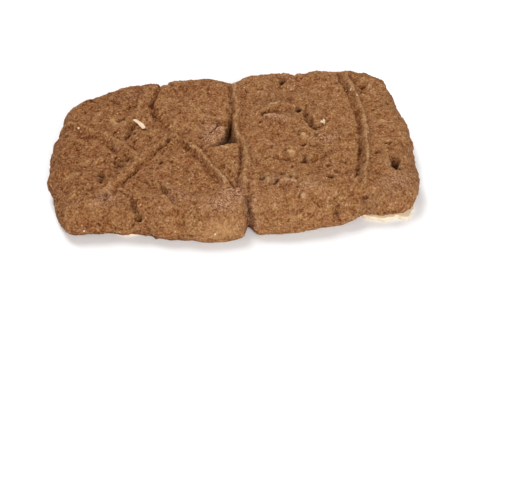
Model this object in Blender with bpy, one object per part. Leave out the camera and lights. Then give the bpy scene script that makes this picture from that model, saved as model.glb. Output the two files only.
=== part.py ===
"""Windmill speculaas: a spiced biscuit pressed in a windmill mould and baked on sliced almonds.

The mill lies on its side. Its four sails cross on the left half, its tower stands on the
right half, and its foot is the strip beyond the long ridge near the right edge.
The origin is under the middle of the biscuit, on the surface that it rests on.
+X runs from the sails to the foot of the mill, +Y away from the front edge and +Z up.
"""
import math

import bmesh
import bpy
import numpy as np
from mathutils import Matrix, Vector, noise

MM = 0.001

# Driving dimensions of the biscuit, in millimetres.
LENGTH = 75.4
WIDTH = 46.6
THICKNESS = 6.9
OUTLINE_POWER = 4.2        # how square the outline is: 2 is an ellipse, and more is squarer
OUTLINE_SHIFT_Y = 0.9      # the outline's middle lies this far behind the origin
RIM_REACH = 5.0            # how far in from the edge the top starts to round off
RIM_FOOT = 2.3             # height at which the side is widest
RIM_TUCK = 0.5             # how far the side pulls in again below that, at the floor
CELL = 0.38                # spacing of the fine grid that carries the relief
WALL_ROWS = 5
TRIANGLES = 9000           # what the fine mesh is thinned to

CRUST_COLOUR = (0.262, 0.127, 0.056)
ALMOND_COLOUR = (0.86, 0.72, 0.49)

# Unevenness of a hand-rolled dough: (height, size of one swell), in millimetres.
SWELLS = ((0.26, 13.0), (0.17, 4.6), (0.1, 2.0))
EDGE_SWELLS = ((0.3, 5.0), (0.2, 2.2))
WANDER = (0.25, 3.2)       # how far the pressed lines wander, and over what distance
FADE = (0.22, 3.6)         # by what share their height comes and goes, and over what distance

# Sliced almonds.
SLICE_THICKNESS = 0.9
SLICE_GAP = 0.3            # clearance in the dough round each slice
SLICE_STEPS = 6            # straight pieces in each quarter of a slice's outline

# The outline's own lobes (+, outwards) and notches (-): (x, y, reach, half width).
EDGE_FEATURES = (
    (-34.0, -18.5, 0.8, 3.0),    # front left sail tip
    (-36.9, -10.2, -1.1, 3.0),   # between the two left sail tips, at the side
    (-37.0, 11.8, -2.3, 5.4),
    (-37.8, 7.8, -1.1, 2.6),
    (-27.5, -21.0, -2.2, 4.2),   # between the two front sail tips
    (-20.8, -22.3, -2.0, 4.0),
    (-5.0, -22.6, 1.4, 5.0),     # front right sail tip
    (0.9, -22.6, -2.1, 0.8),     # waist, front
    (8.5, -22.6, 0.6, 5.5),      # tower, front
    (24.6, -21.9, -1.5, 2.4),    # where the foot's ridge ends
    (31.5, -19.3, 1.3, 4.4),     # foot, front corner
    (38.0, -8.0, -0.7, 5.0),
    (37.5, 9.5, -0.6, 4.0),
    (34.5, 20.0, 1.7, 5.5),      # foot, back corner
    (26.0, 24.0, 1.4, 5.5),      # tower, back
    (18.8, 24.2, -1.3, 2.4),
    (12.5, 24.3, 0.9, 4.0),
    (2.2, 24.3, -2.3, 3.4),      # waist, back
    (-8.3, 24.3, 0.6, 3.2),      # back right sail tip
    (-13.9, 24.3, -2.1, 1.0),    # between the two back sail tips
    (-31.5, 20.0, -2.1, 6.5),    # back left sail tip
)

# Lines of the mill: (height above the dough, half width, points). A height below 0 is a groove.
RAISED_LINES = {
    "front left spar": (0.5, 0.95, ((-13.6, 1.2), (-16.6, -1.9), (-19.2, -5.2), (-22.0, -9.4), (-24.6, -12.6))),
    "front right spar": (1.0, 0.75, ((-11.9, 1.2), (-9.1, -1.8), (-6.9, -5.2), (-5.0, -9.4), (-2.9, -14.0))),
    "left sail edge": (0.7, 0.75, ((-33.6, 8.6), (-29.9, 5.0), (-27.2, 3.9), (-25.0, 2.1), (-22.7, -1.3),
                                   (-20.8, -4.2))),
    "back left sail edge": (0.6, 1.0, ((-25.0, 3.0), (-21.8, 6.6), (-19.2, 10.2), (-18.0, 13.8), (-16.6, 17.5))),
    "cap": (0.8, 0.8, ((2.4, 17.0), (2.3, 12.3), (2.1, 8.3), (1.1, 4.6), (1.2, 0.0), (2.1, -3.8),
                       (2.1, -8.2), (1.1, -12.8), (0.5, -15.2))),
    "foot": (0.9, 0.85, ((27.2, 18.6), (27.5, 14.3), (27.9, 10.1), (27.9, 4.7), (27.6, -0.5), (26.8, -5.9),
                         (25.8, -10.3), (24.3, -15.5), (23.6, -17.5))),
    "window arch": (0.5, 0.65, ((6.1, 6.8), (8.1, 8.3), (11.0, 9.8), (13.1, 9.4), (14.1, 8.0))),
    "upper course": (0.5, 0.6, ((13.8, -2.0), (17.5, -2.8), (21.0, -3.0), (24.0, -1.4))),
    "front sail rib": (0.4, 0.6, ((-14.0, -13.0), (-12.9, -15.9), (-11.7, -18.8))),
}
SUNK_LINES = {
    "front left spar foot": (-0.65, 0.45, ((-13.6, -0.2), (-15.6, -2.8), (-17.6, -5.8), (-18.6, -7.0))),
    "front right spar foot": (-0.7, 0.5, ((-11.0, -0.4), (-8.9, -3.4), (-7.2, -6.6), (-5.9, -10.0),
                                           (-4.3, -13.4))),
    "left sail edge's foot": (-0.45, 0.5, ((-29.6, 3.6), (-28.2, 2.6), (-26.4, 0.7), (-24.4, -2.0))),
    "back sail groove": (-1.1, 0.45, ((-13.6, 22.0), (-14.9, 16.0), (-16.1, 12.8), (-15.9, 10.0), (-15.2, 8.0))),
    "cap side, back": (-0.6, 0.4, ((1.4, 17.4), (1.3, 12.5), (0.9, 8.1), (-0.3, 4.2))),
    "cap side, front": (-0.6, 0.4, ((1.2, -3.0), (0.9, -7.4), (0.1, -11.3), (-0.9, -14.4))),
    "waist crack": (-1.0, 0.4, ((1.5, -14.6), (1.5, -17.2), (1.0, -19.5), (0.9, -23.0))),
    "foot side": (-0.85, 0.45, ((25.7, 20.0), (25.8, 16.6), (26.2, 13.2), (26.6, 8.0), (26.7, 3.6),
                                (26.3, -1.5), (25.6, -5.4), (24.5, -9.5), (23.0, -14.4))),
    "tower crack": (-0.5, 0.45, ((13.6, 19.8), (12.2, 16.2), (12.4, 13.2), (12.9, 10.9))),
    "arch shadow": (-0.6, 0.6, ((7.2, 6.6), (9.2, 7.3), (11.6, 8.1), (13.4, 7.6))),
    "middle crease": (-0.2, 0.8, ((5.0, -4.2), (7.5, -7.0), (10.0, -8.8), (13.3, -9.6), (17.0, -8.8),
                                  (20.5, -6.2))),
    "rib shadow": (-0.45, 0.5, ((-15.4, -13.0), (-14.4, -15.8), (-13.2, -18.6))),
}

# Dents (-) and mounds (+): (height, x, y, half length, half width, turn in degrees).
SPOTS = {
    "tower pit, back": (-1.5, 14.7, 7.7, 0.95, 0.6, 90),
    "tower pit, middle": (-1.5, 17.0, 2.7, 1.35, 0.75, 100),
    "tower pit, front": (-2.0, 13.5, -8.5, 1.2, 0.7, 88),
    "foot pit": (-2.8, 31.3, -12.0, 2.2, 0.95, 92),
    "foot dent": (-0.6, 28.6, -8.0, 1.0, 0.7, 60),
    "sail dent, front": (-1.3, -22.9, -4.8, 1.5, 1.2, 80),
    "sail dent, back": (-1.2, -20.7, 3.2, 1.6, 1.1, 70),
    "sail slot": (-0.9, -22.6, 8.0, 1.1, 0.6, 50),
    "sail pit": (-1.1, -26.6, -8.7, 0.8, 0.6, 90),
    "rim dent, back": (-1.0, -24.3, 15.9, 1.9, 0.6, 130),
    "rim crack, front": (-1.0, -20.2, -18.4, 2.0, 0.45, 80),
    "tower crack, back": (-1.2, 13.1, 19.2, 1.5, 0.7, 60),
    "knob": (0.8, 18.6, 5.4, 2.8, 1.9, 85),
    "window sill": (0.8, 9.8, 4.8, 3.0, 1.15, -8),
    "crumb": (0.75, 11.1, -6.9, 0.95, 0.75, 0),
    "back sail": (0.35, -8.0, 9.5, 6.0, 5.0, 0),
    "front sail": (0.35, -11.5, -10.5, 7.0, 5.0, 60),
    "tower belly": (0.3, 15.0, -15.5, 8.0, 3.5, 0),
}

# Flat-bottomed patches: (height, softness of their sides, corners in order).
PATCHES = {
    "smooth panel by the cap": (0.4, 0.4, ((-6.6, -2.2), (0.9, -2.2), (0.3, -14.0))),
    "deep corner by the cap": (-1.9, 0.9, ((-3.7, -2.2), (0.3, -2.2), (0.5, 5.6))),
    "broken slope by the cap": (-0.8, 2.6, ((-6.8, -2.2), (0.4, -2.2), (0.4, 6.6), (-5.8, 5.8))),
    "band on the back left sail": (0.35, 0.6, ((-19.2, 8.8), (-16.6, 8.8), (-16.0, 15.6), (-18.6, 16.4))),
    "sunk field behind the foot's ridge": (-0.35, 1.2, ((28.4, 11.0), (28.6, 21.0), (31.5, 21.0), (31.0, 12.0))),
}

# Where the underside lifts off the floor at the edge: (x, y, lift, half width).
FOOT_LIFTS = (
    (-28.0, -19.5, 1.0, 3.4),
    (-22.0, -20.2, 0.6, 2.6),
    (0.9, -21.0, 1.2, 1.6),
    (23.0, -20.5, 0.6, 3.0),
    (16.5, 23.0, 0.6, 3.5),
    (-13.9, 22.5, 0.9, 1.6),
)

# Almond slices under the biscuit: (x, y, length, width, turn in degrees, how pointed the far end
# is, the broken bits of its edge as (angle in degrees, reach, half width in degrees)).
SLICES = (
    (28.6, -17.3, 11.8, 8.0, 0.0, 0.0, ((254, 0.3, 11), (294, -0.5, 7), (309, 0.9, 11), (350, -0.3, 12))),
    (-20.6, -16.0, 11.0, 7.6, 357.0, 0.1, ((245, 0.2, 14), (300, -0.2, 10))),
    (-31.2, 6.2, 14.5, 8.0, 114.0, 0.25, ()),
    (-7.5, 21.0, 13.5, 7.8, 15.0, 0.3, ((200, -0.6, 15),)),
    (-8.0, -6.5, 15.0, 8.4, 38.0, 0.3, ()),
    (10.5, 7.0, 14.5, 8.2, 152.0, 0.28, ((80, -0.5, 14),)),
    (33.6, 9.0, 13.8, 7.6, 64.0, 0.25, ()),
    (11.0, -14.2, 13.0, 7.4, 8.0, 0.3, ()),
)
SLICE_ROUNDNESS = 2.5      # how square a slice's outline is: 2 is an ellipse

# The shaving of almond that stuck to the top of the back left sail: it lies in an arc.
SHAVING_PLACE = (-18.9, 6.7)
SHAVING_LENGTH = 4.3
SHAVING_WIDTH = 0.95
SHAVING_BULGE = 0.5
SHAVING_THICKNESS = 0.9
SHAVING_SUNK = 0.45
SHAVING_TURN = -58.0
SHAVING_STEPS = 8

# Middle of the finished piece's box in the drawing's coordinates: everything is moved so that
# it comes to the origin.
BOX_MIDDLE = (0.06, 0.668)


def principled(name, colour, roughness):
    """Returns a plain material."""
    material = bpy.data.materials.new(name)
    material.use_nodes = True
    shader = material.node_tree.nodes["Principled BSDF"]
    shader.inputs["Base Color"].default_value = (*colour, 1.0)
    shader.inputs["Roughness"].default_value = roughness
    shader.inputs["Metallic"].default_value = 0.0
    return material


def base_radius(angle):
    """Distance from the outline's middle to the plain outline, along each angle."""
    across = np.abs(np.cos(angle) / (LENGTH / 2)) ** OUTLINE_POWER
    along = np.abs(np.sin(angle) / (WIDTH / 2)) ** OUTLINE_POWER
    return (across + along) ** (-1 / OUTLINE_POWER)


def smooth_noise(x, y, z, size, seed):
    """Swells of about one unit's height, each about size across."""
    x, y, z = np.broadcast_arrays(x, y, z)
    places = zip(np.ravel(x) / size, np.ravel(y) / size, np.ravel(z) / size + seed)
    values = [noise.noise(Vector(place)) for place in places]
    return np.reshape(values, np.shape(x)) * 1.6


def edge_radius(angle, z):
    """Distance from the outline's middle to the biscuit's edge, with its lobes and notches."""
    radius = base_radius(angle)
    x = radius * np.cos(angle)
    y = radius * np.sin(angle) + OUTLINE_SHIFT_Y
    reach = np.zeros(np.shape(angle))
    for number, (swell, size) in enumerate(EDGE_SWELLS):
        reach = reach + swell * smooth_noise(x, y, z, size, 7.3 + number)
    for place_x, place_y, amount, half_width in EDGE_FEATURES:
        away = np.hypot(x - place_x, y - place_y) / half_width
        reach = reach + amount * np.exp(-away ** 2)
    return radius + reach


def ramp(value):
    """Goes smoothly from 0 to 1 as value does."""
    value = np.clip(value, 0.0, 1.0)
    return value * value * (3 - 2 * value)


def distance_to_line(x, y, points):
    """Distance from each place to the line through the points."""
    nearest = np.full(np.shape(x), np.inf)
    for (ax, ay), (bx, by) in zip(points, points[1:]):
        run = (bx - ax) ** 2 + (by - ay) ** 2
        share = np.clip(((x - ax) * (bx - ax) + (y - ay) * (by - ay)) / run, 0, 1)
        nearest = np.minimum(nearest, np.hypot(x - ax - share * (bx - ax), y - ay - share * (by - ay)))
    return nearest


def depth_inside(x, y, corners):
    """How deep each place lies inside a convex outline; negative outside it."""
    sides = list(zip(corners, corners[1:] + corners[:1]))
    turn = sum(ax * by - bx * ay for (ax, ay), (bx, by) in sides)
    depth = np.full(np.shape(x), np.inf)
    for (ax, ay), (bx, by) in sides:
        side = ((bx - ax) * (y - ay) - (by - ay) * (x - ax)) / math.hypot(bx - ax, by - ay)
        depth = np.minimum(depth, math.copysign(1.0, turn) * side)
    return depth


def spot(x, y, height, place_x, place_y, half_length, half_width, turn):
    """A round-edged mound or dent."""
    angle = math.radians(turn)
    along = (x - place_x) * math.cos(angle) + (y - place_y) * math.sin(angle)
    across = (y - place_y) * math.cos(angle) - (x - place_x) * math.sin(angle)
    return height * np.exp(-((along / half_length) ** 2 + (across / half_width) ** 2) ** 1.3)


def relief(x, y):
    """Height of the mill's relief above the plain top, in millimetres."""
    height = np.zeros(np.shape(x))
    off, size = WANDER
    line_x = x + off * smooth_noise(x, y, 0.0, size, 20.3)
    line_y = y + off * smooth_noise(x, y, 0.0, size, 30.3)
    share, size = FADE
    strength = 1 + share * smooth_noise(x, y, 0.0, size, 40.3)
    for rise, half_width, points in list(RAISED_LINES.values()) + list(SUNK_LINES.values()):
        away = distance_to_line(line_x, line_y, points) / half_width
        height = height + rise * strength * np.exp(-away ** 2)
    for values in SPOTS.values():
        height = height + spot(x, y, *values)
    for rise, softness, corners in PATCHES.values():
        height = height + rise * ramp(depth_inside(x, y, corners) / softness + 0.5)
    for number, (swell, size) in enumerate(SWELLS):
        height = height + swell * smooth_noise(x, y, 0.0, size, 0.3 + number)
    return height


def plan(u, v, z, inset):
    """Where a grid place (u, v) from -1 to 1 lies at a height, drawn in from the edge by inset.

    It also returns how far round the rim's bend the place is: 0 on the flat top, 1 at the edge.
    """
    share = np.maximum(np.abs(u), np.abs(v))
    angle = np.arctan2(v * WIDTH, u * LENGTH)
    edge = edge_radius(angle, z)
    # The ray from the middle meets the edge at a slant: a step along it counts for less.
    cosine = np.abs(np.cos(angle))
    sine = np.abs(np.sin(angle))
    pull_x = (cosine / (LENGTH / 2)) ** (OUTLINE_POWER - 1) / (LENGTH / 2)
    pull_y = (sine / (WIDTH / 2)) ** (OUTLINE_POWER - 1) / (WIDTH / 2)
    facing = (cosine * pull_x + sine * pull_y) / np.hypot(pull_x, pull_y)
    reach = RIM_REACH / facing
    # The bend is longer than its reach, so it gets its share of the grid's rows.
    bend = math.hypot(RIM_REACH, THICKNESS - RIM_FOOT) * 1.11
    start = (edge - reach) / (edge - reach + bend)
    round_rim = np.clip((share - start) / (1 - start), 0, 1)
    on_top = (edge - reach) * share / start
    on_bend = edge - reach * (1 - np.sin(round_rim * math.pi / 2))
    radius = np.where(share < start, on_top, on_bend) - inset / facing
    return radius * np.cos(angle), radius * np.sin(angle) + OUTLINE_SHIFT_Y, round_rim


def foot_lift(x, y):
    """Height of the underside's edge above the floor."""
    lift = np.zeros(np.shape(x))
    for place_x, place_y, amount, half_width in FOOT_LIFTS:
        lift = lift + amount * np.exp(-(np.hypot(x - place_x, y - place_y) / half_width) ** 2)
    return lift


def shape_blank(co):
    """Moves the blank's places, given as (u, v, w) with w from 0 at the floor to 1 at the top."""
    u, v, w = co.T
    x, y, round_rim = plan(u, v, w * THICKNESS, RIM_TUCK * (1 - w) ** 2)
    fade = 1 - 0.85 * ramp(round_rim * 1.3 - 0.3)
    top = RIM_FOOT + (THICKNESS - RIM_FOOT) * np.cos(round_rim * math.pi / 2) + relief(x, y) * fade
    side = np.maximum(np.abs(u), np.abs(v)) > 1 - 1e-6
    lift = foot_lift(x, y) * ramp(round_rim * 2 - 1)
    z = np.where(w > 1 - 1e-6, top, np.where(side, lift + (top - lift) * w, lift))
    return np.stack([x, y, z], 1)


def place_in_box(mesh):
    """Moves a mesh drawn in millimetres to the finished piece's own frame, in metres."""
    mesh.transform(Matrix.Scale(MM, 4) @ Matrix.Translation((-BOX_MIDDLE[0], -BOX_MIDDLE[1], 0)))
    mesh.update()


def new_object(name, mesh, collection, material=None):
    """Links a mesh as a named object with its material."""
    thing = bpy.data.objects.new(name, mesh)
    if material:
        mesh.materials.append(material)
    collection.objects.link(thing)
    return thing


def prism(name, outline, low, high):
    """A mesh with the given outline from one height to another, all in millimetres."""
    bm = bmesh.new()
    face = bm.faces.new([bm.verts.new((x, y, low)) for x, y in outline])
    lid = bmesh.ops.extrude_face_region(bm, geom=[face], use_keep_orig=True)["geom"]
    lid = [part for part in lid if isinstance(part, bmesh.types.BMVert)]
    bmesh.ops.translate(bm, verts=lid, vec=(0, 0, high - low))
    bmesh.ops.recalc_face_normals(bm, faces=bm.faces)
    mesh = bpy.data.meshes.new(name)
    bm.to_mesh(mesh)
    bm.free()
    return mesh


def slice_outline(x, y, length, width, turn, point, breaks, grow=0.0):
    """The outline of an almond slice, grown by a clearance."""
    outline = []
    for step in range(4 * SLICE_STEPS):
        angle = step * math.pi / 2 / SLICE_STEPS
        across = abs(math.cos(angle) / (length / 2)) ** SLICE_ROUNDNESS
        along = abs(math.sin(angle) / (width / 2)) ** SLICE_ROUNDNESS
        radius = (across + along) ** (-1 / SLICE_ROUNDNESS) + grow
        for at, reach, half_width in breaks:
            away = (math.degrees(angle) - at + 180) % 360 - 180
            radius += reach * math.exp(-(away / half_width) ** 2)
        a = radius * math.cos(angle)
        b = radius * math.sin(angle) * (1 - point * a / (length / 2))
        t = math.radians(turn)
        outline.append((x + a * math.cos(t) - b * math.sin(t), y + a * math.sin(t) + b * math.cos(t)))
    return outline


def shaving_outline():
    """The outline of the curved shaving of almond on the top."""
    inner = []
    outer = []
    for step in range(SHAVING_STEPS + 1):
        share = 2 * step / SHAVING_STEPS - 1
        bow = SHAVING_BULGE * (1 - share ** 2)
        half = SHAVING_WIDTH / 2 * (1 - 0.35 * share ** 4)
        inner.append((share * SHAVING_LENGTH / 2, bow - half))
        outer.append((share * SHAVING_LENGTH / 2, bow + half))
    turn = Matrix.Rotation(math.radians(SHAVING_TURN), 2)
    turned = [turn @ Vector(place) for place in inner + outer[::-1]]
    return [(SHAVING_PLACE[0] + place.x, SHAVING_PLACE[1] + place.y) for place in turned]


def biscuit(collection, material):
    """The biscuit: a fine slab shaped by its outline and relief, then thinned."""
    bm = bmesh.new()
    bmesh.ops.create_grid(bm, x_segments=round(LENGTH / CELL), y_segments=round(WIDTH / CELL), size=1.0)
    lid = bmesh.ops.extrude_face_region(bm, geom=list(bm.faces), use_keep_orig=True)["geom"]
    lid = [part for part in lid if isinstance(part, bmesh.types.BMVert)]
    bmesh.ops.translate(bm, verts=lid, vec=(0, 0, 1))
    posts = [edge for edge in bm.edges if abs(edge.verts[0].co.z - edge.verts[1].co.z) > 0.5]
    bmesh.ops.subdivide_edges(bm, edges=posts, cuts=WALL_ROWS - 1, use_grid_fill=True)
    bmesh.ops.recalc_face_normals(bm, faces=bm.faces)
    mesh = bpy.data.meshes.new("cookie")
    bm.to_mesh(mesh)
    bm.free()

    co = np.empty(len(mesh.vertices) * 3, np.float32)
    mesh.vertices.foreach_get("co", co)
    shaped = shape_blank(co.reshape(-1, 3).astype(float))
    mesh.vertices.foreach_set("co", shaped.astype(np.float32).ravel())
    place_in_box(mesh)

    cookie = new_object("cookie", mesh, collection, material)
    thin = cookie.modifiers.new("thin", "DECIMATE")
    thin.use_collapse_triangulate = True
    thin.ratio = TRIANGLES / (2 * len(mesh.polygons))
    return cookie


def combine(thing, helper, operation):
    """Adds an exact Boolean with a helper object."""
    helper.display_type = "WIRE"
    helper.hide_render = True
    step = thing.modifiers.new(helper.name, "BOOLEAN")
    step.operation = operation
    step.solver = "EXACT"
    step.object = helper


def main():
    """Builds the biscuit and its almonds."""
    for thing in list(bpy.data.objects):
        bpy.data.objects.remove(thing)
    parts = bpy.data.collections.new("speculaas_cookie")
    cutters = bpy.data.collections.new("cutters")
    cutters.hide_render = True
    bpy.context.scene.collection.children.link(parts)
    bpy.context.scene.collection.children.link(cutters)
    crust = principled("baked_dough", CRUST_COLOUR, 0.85)
    almond = principled("almond", ALMOND_COLOUR, 0.55)

    cookie = biscuit(parts, crust)
    x, y = SHAVING_PLACE
    under = THICKNESS + float(relief(np.array([x]), np.array([y]))[0]) - SHAVING_SUNK
    mesh = prism("shaving", shaving_outline(), under, under + SHAVING_THICKNESS)
    place_in_box(mesh)
    combine(cookie, new_object("shaving", mesh, cutters), "UNION")

    for number, values in enumerate(SLICES, start=1):
        mesh = prism(f"almond_slice_{number}", slice_outline(*values), 0.0, SLICE_THICKNESS)
        place_in_box(mesh)
        new_object(f"almond_slice_{number}", mesh, parts, almond)
        pocket = slice_outline(*values, grow=SLICE_GAP)
        mesh = prism(f"pocket_{number}", pocket, -1.0, SLICE_THICKNESS + SLICE_GAP)
        place_in_box(mesh)
        combine(cookie, new_object(f"pocket_{number}", mesh, cutters), "DIFFERENCE")


if __name__ == "__main__":
    main()
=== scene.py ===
"""Finished windmill speculaas: a spiced biscuit pressed in a windmill mould, baked on sliced almonds.

The mill lies on its side: its four sails cross on the left half, its tower stands on the right
half and its foot is the strip beyond the long ridge. The dough is modelled as a fine slab that is
pressed into the mill's relief, roughened into crumb, and cut for the almond slices under it.

Shapes are drawn in millimetres and degrees, and to_frame moves them to the piece's own frame.
"""

import logging
import math
from dataclasses import dataclass, field
from enum import Enum

import bpy
import numpy as np
from mathutils import Matrix, Vector, noise


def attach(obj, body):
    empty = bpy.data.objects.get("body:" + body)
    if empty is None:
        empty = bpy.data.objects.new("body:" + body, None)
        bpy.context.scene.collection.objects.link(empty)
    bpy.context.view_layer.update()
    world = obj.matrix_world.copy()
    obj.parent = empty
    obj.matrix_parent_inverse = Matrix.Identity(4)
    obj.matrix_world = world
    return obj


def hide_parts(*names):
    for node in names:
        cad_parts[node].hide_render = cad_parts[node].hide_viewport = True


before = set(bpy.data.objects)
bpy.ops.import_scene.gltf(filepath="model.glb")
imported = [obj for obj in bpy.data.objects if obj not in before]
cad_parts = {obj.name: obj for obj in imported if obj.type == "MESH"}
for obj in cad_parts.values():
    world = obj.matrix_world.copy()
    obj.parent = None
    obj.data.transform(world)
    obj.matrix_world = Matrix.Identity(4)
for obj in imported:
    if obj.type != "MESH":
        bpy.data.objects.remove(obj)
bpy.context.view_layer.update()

MM = 0.001
TINY = 1e-6
BODY = "root"
CRUST_NODE = "cookie"
# Middle of the whole piece in the drawing: it is moved to the origin.
BOX_MIDDLE = (0.06, 0.668)
# Brings the noise's swells to about one unit's height.
SWELL_HEIGHT = 1.6
log = logging.getLogger("speculaas")

Places = np.ndarray
Corner = tuple[float, float]
Colour = tuple[float, float, float]
# A noise's size in millimetres, its detail, its roughness and its shift.
Noise = tuple[float, float, float, float]
Piece = bpy.types.Object
Socket = bpy.types.NodeSocket


# ---------------------------------------------------------------- sizes of the mould and the dough


@dataclass(frozen=True)
class Line:
    """A line of the mill, raised or sunk."""

    rise: float
    half_width: float
    points: tuple[Corner, ...]


@dataclass(frozen=True)
class Spot:
    """A mound or a dent with a rounded edge."""

    rise: float
    x: float
    y: float
    half_length: float
    half_width: float
    turn: float = 0.0
    # 1 for a bell, more for a flatter middle and steeper sides.
    sharpness: float = 1.3

    def share(self, x: Places, y: Places) -> Places:
        """Says how much each place belongs to the spot.

        Args:
            x: places along the biscuit, in millimetres.
            y: places across it.

        Returns:
            1 in the middle, falling to 0 outside.
        """
        along, across = turned(x - self.x, y - self.y, -self.turn)
        away = (along / self.half_length) ** 2 + (across / self.half_width) ** 2
        return np.exp(-away ** self.sharpness)


@dataclass(frozen=True)
class Patch:
    """A flat patch with straight sides, given by its corners in order."""

    rise: float
    softness: float
    corners: tuple[Corner, ...]


def lines(*rows: tuple) -> tuple[Line, ...]:
    """Makes a line of each row: its rise, its half width and its corners."""
    return tuple(Line(*row) for row in rows)


def spots(*rows: tuple[float, ...]) -> tuple[Spot, ...]:
    """Makes a spot of each row, whose numbers stand in the order of a spot's fields."""
    return tuple(Spot(*row) for row in rows)


MILL_LINES = lines(
    # Sails: raised bars and the grooves beside them.
    (0.42, 1.1, ((-13.5, 1.4), (-15.0, -0.9), (-16.8, -2.4), (-18.8, -5.1), (-21.1, -7.9),
        (-23.4, -11.0), (-25.6, -13.6))),
    (1.0, 0.75, ((-11.9, 1.2), (-9.1, -1.8), (-6.9, -5.2), (-5.0, -9.4), (-2.9, -14.0))),
    (0.9, 0.75, ((-34.0, 8.5), (-31.0, 6.6), (-28.6, 4.8), (-26.4, 3.5), (-24.5, 1.9), (-22.1, -1.0),
        (-19.9, -4.4))),
    (0.6, 1.0, ((-25.0, 3.0), (-21.8, 6.6), (-19.2, 10.2), (-18.0, 13.8), (-16.6, 17.5))),
    (0.4, 0.6, ((-14.0, -13.0), (-12.9, -15.9), (-11.7, -18.8))),
    (-0.42, 0.52, ((-12.9, 0.5), (-14.1, -1.1), (-15.4, -2.3), (-16.4, -3.6), (-17.1, -5.2))),
    (-0.2, 0.65, ((-17.6, -5.8), (-18.9, -6.5), (-19.8, -8.0), (-20.7, -9.8))),
    (-0.42, 0.5, ((-11.0, -0.4), (-8.9, -3.4), (-7.2, -6.6), (-5.9, -10.0), (-4.3, -13.4))),
    (-0.45, 0.45, ((-29.4, 3.4), (-27.4, 2.2), (-25.9, 0.9), (-24.4, -1.2))),
    (-0.35, 0.4, ((-23.0, 2.2), (-21.6, 0.2), (-20.2, -2.2))),
    (-0.75, 0.5, ((-13.6, 22.0), (-14.9, 16.0), (-16.1, 12.8), (-15.9, 10.0), (-15.2, 8.0))),
    (-0.45, 0.5, ((-15.4, -13.0), (-14.4, -15.8), (-13.2, -18.6))),
    # Cap of the mill and the waist.
    (0.8, 0.8, ((2.4, 17.0), (2.3, 12.3), (2.1, 8.3), (1.1, 4.6), (1.2, 0.0), (2.1, -3.8), (2.1, -8.2),
        (1.1, -12.8), (0.5, -15.2))),
    (-0.6, 0.38, ((1.4, 17.4), (1.3, 12.5), (0.9, 8.1), (-0.3, 4.2))),
    (-0.6, 0.38, ((1.2, -3.0), (0.9, -7.4), (0.1, -11.3), (-0.9, -14.4))),
    (-0.35, 0.3, ((1.3, -14.8), (1.5, -16.8), (1.3, -18.2))),
    (-1.2, 0.36, ((1.3, -18.0), (1.1, -19.6), (1.0, -21.2))),
    # Foot's long ridge.
    (0.95, 0.52, ((27.2, 18.6), (27.5, 14.3), (27.9, 10.1), (27.9, 4.7), (27.6, -0.5), (26.8, -5.9),
        (25.8, -10.3), (24.3, -15.5), (23.6, -17.5))),
    (-0.6, 0.4, ((25.7, 20.0), (25.8, 16.6), (26.2, 13.2), (26.6, 8.0), (26.7, 3.6), (26.3, -1.5),
        (25.6, -5.4), (24.5, -9.5), (23.0, -14.4))),
    # Tower: window arch, courses of brick and creases.
    (0.5, 0.65, ((6.1, 6.8), (8.1, 8.3), (11.0, 9.8), (13.1, 9.4), (14.1, 8.0))),
    (0.5, 0.6, ((13.8, -2.0), (17.5, -2.8), (21.0, -3.0), (24.0, -1.4))),
    (-0.5, 0.45, ((13.6, 19.8), (12.2, 16.2), (12.4, 13.2), (12.9, 10.9))),
    (-0.6, 0.6, ((7.2, 6.6), (9.2, 7.3), (11.6, 8.1), (13.4, 7.6))),
    (-0.2, 0.8, ((5.0, -4.2), (7.5, -7.0), (10.0, -8.8), (13.3, -9.6), (17.0, -8.8), (20.5, -6.2))),
)
MILL_SPOTS = spots(
    (-2.2, 14.7, 7.7, 1.0, 0.6, 90, 2.6), (-1.5, 17.0, 2.7, 1.35, 0.75, 100, 2.0),
    (-2.0, 13.5, -8.5, 1.2, 0.6, 88, 2.2), (-2.8, 31.3, -12.0, 2.2, 0.9, 92, 1.8),
    (-0.6, 28.6, -8.0, 1.0, 0.7, 60), (-1.0, -22.9, -5.0, 1.8, 1.4, 80), (-0.75, -20.8, 4.0, 2.4, 1.0, 70),
    (-0.9, -22.6, 8.0, 1.1, 0.6, 50), (-1.1, -26.6, -8.7, 0.8, 0.6, 90), (-1.0, -24.3, 15.9, 1.9, 0.6, 130),
    (-0.9, -20.6, -17.8, 1.4, 0.45, 80), (-1.2, 13.1, 19.2, 1.5, 0.7, 60), (1.0, 18.6, 5.4, 2.8, 1.9, 85),
    (1.0, 9.8, 4.8, 3.0, 1.15, -8), (0.75, 11.1, -6.9, 1.0, 0.75, 0, 2.0), (0.35, -8.0, 9.5, 6.0, 5.0, 0),
    (0.35, -11.5, -10.5, 7.0, 5.0, 60), (0.3, 15.0, -15.5, 8.0, 3.5, 0),
)
MILL_PATCHES = (
    Patch(0.4, 0.35, ((-6.5, -2.4), (0.9, -2.5), (0.3, -14.0))),
    Patch(-2.3, 0.7, ((-3.4, -2.4), (0.3, -2.4), (0.3, 5.8))),
    Patch(-0.8, 1.6, ((-6.8, -2.4), (0.4, -2.4), (0.4, 6.2), (-5.8, 5.8))),
    Patch(0.35, 0.6, ((-19.2, 8.8), (-16.6, 8.8), (-16.0, 15.6), (-18.6, 16.4))),
    Patch(-0.35, 1.2, ((28.4, 11.0), (28.6, 21.0), (31.5, 21.0), (31.0, 12.0))),
)
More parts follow.
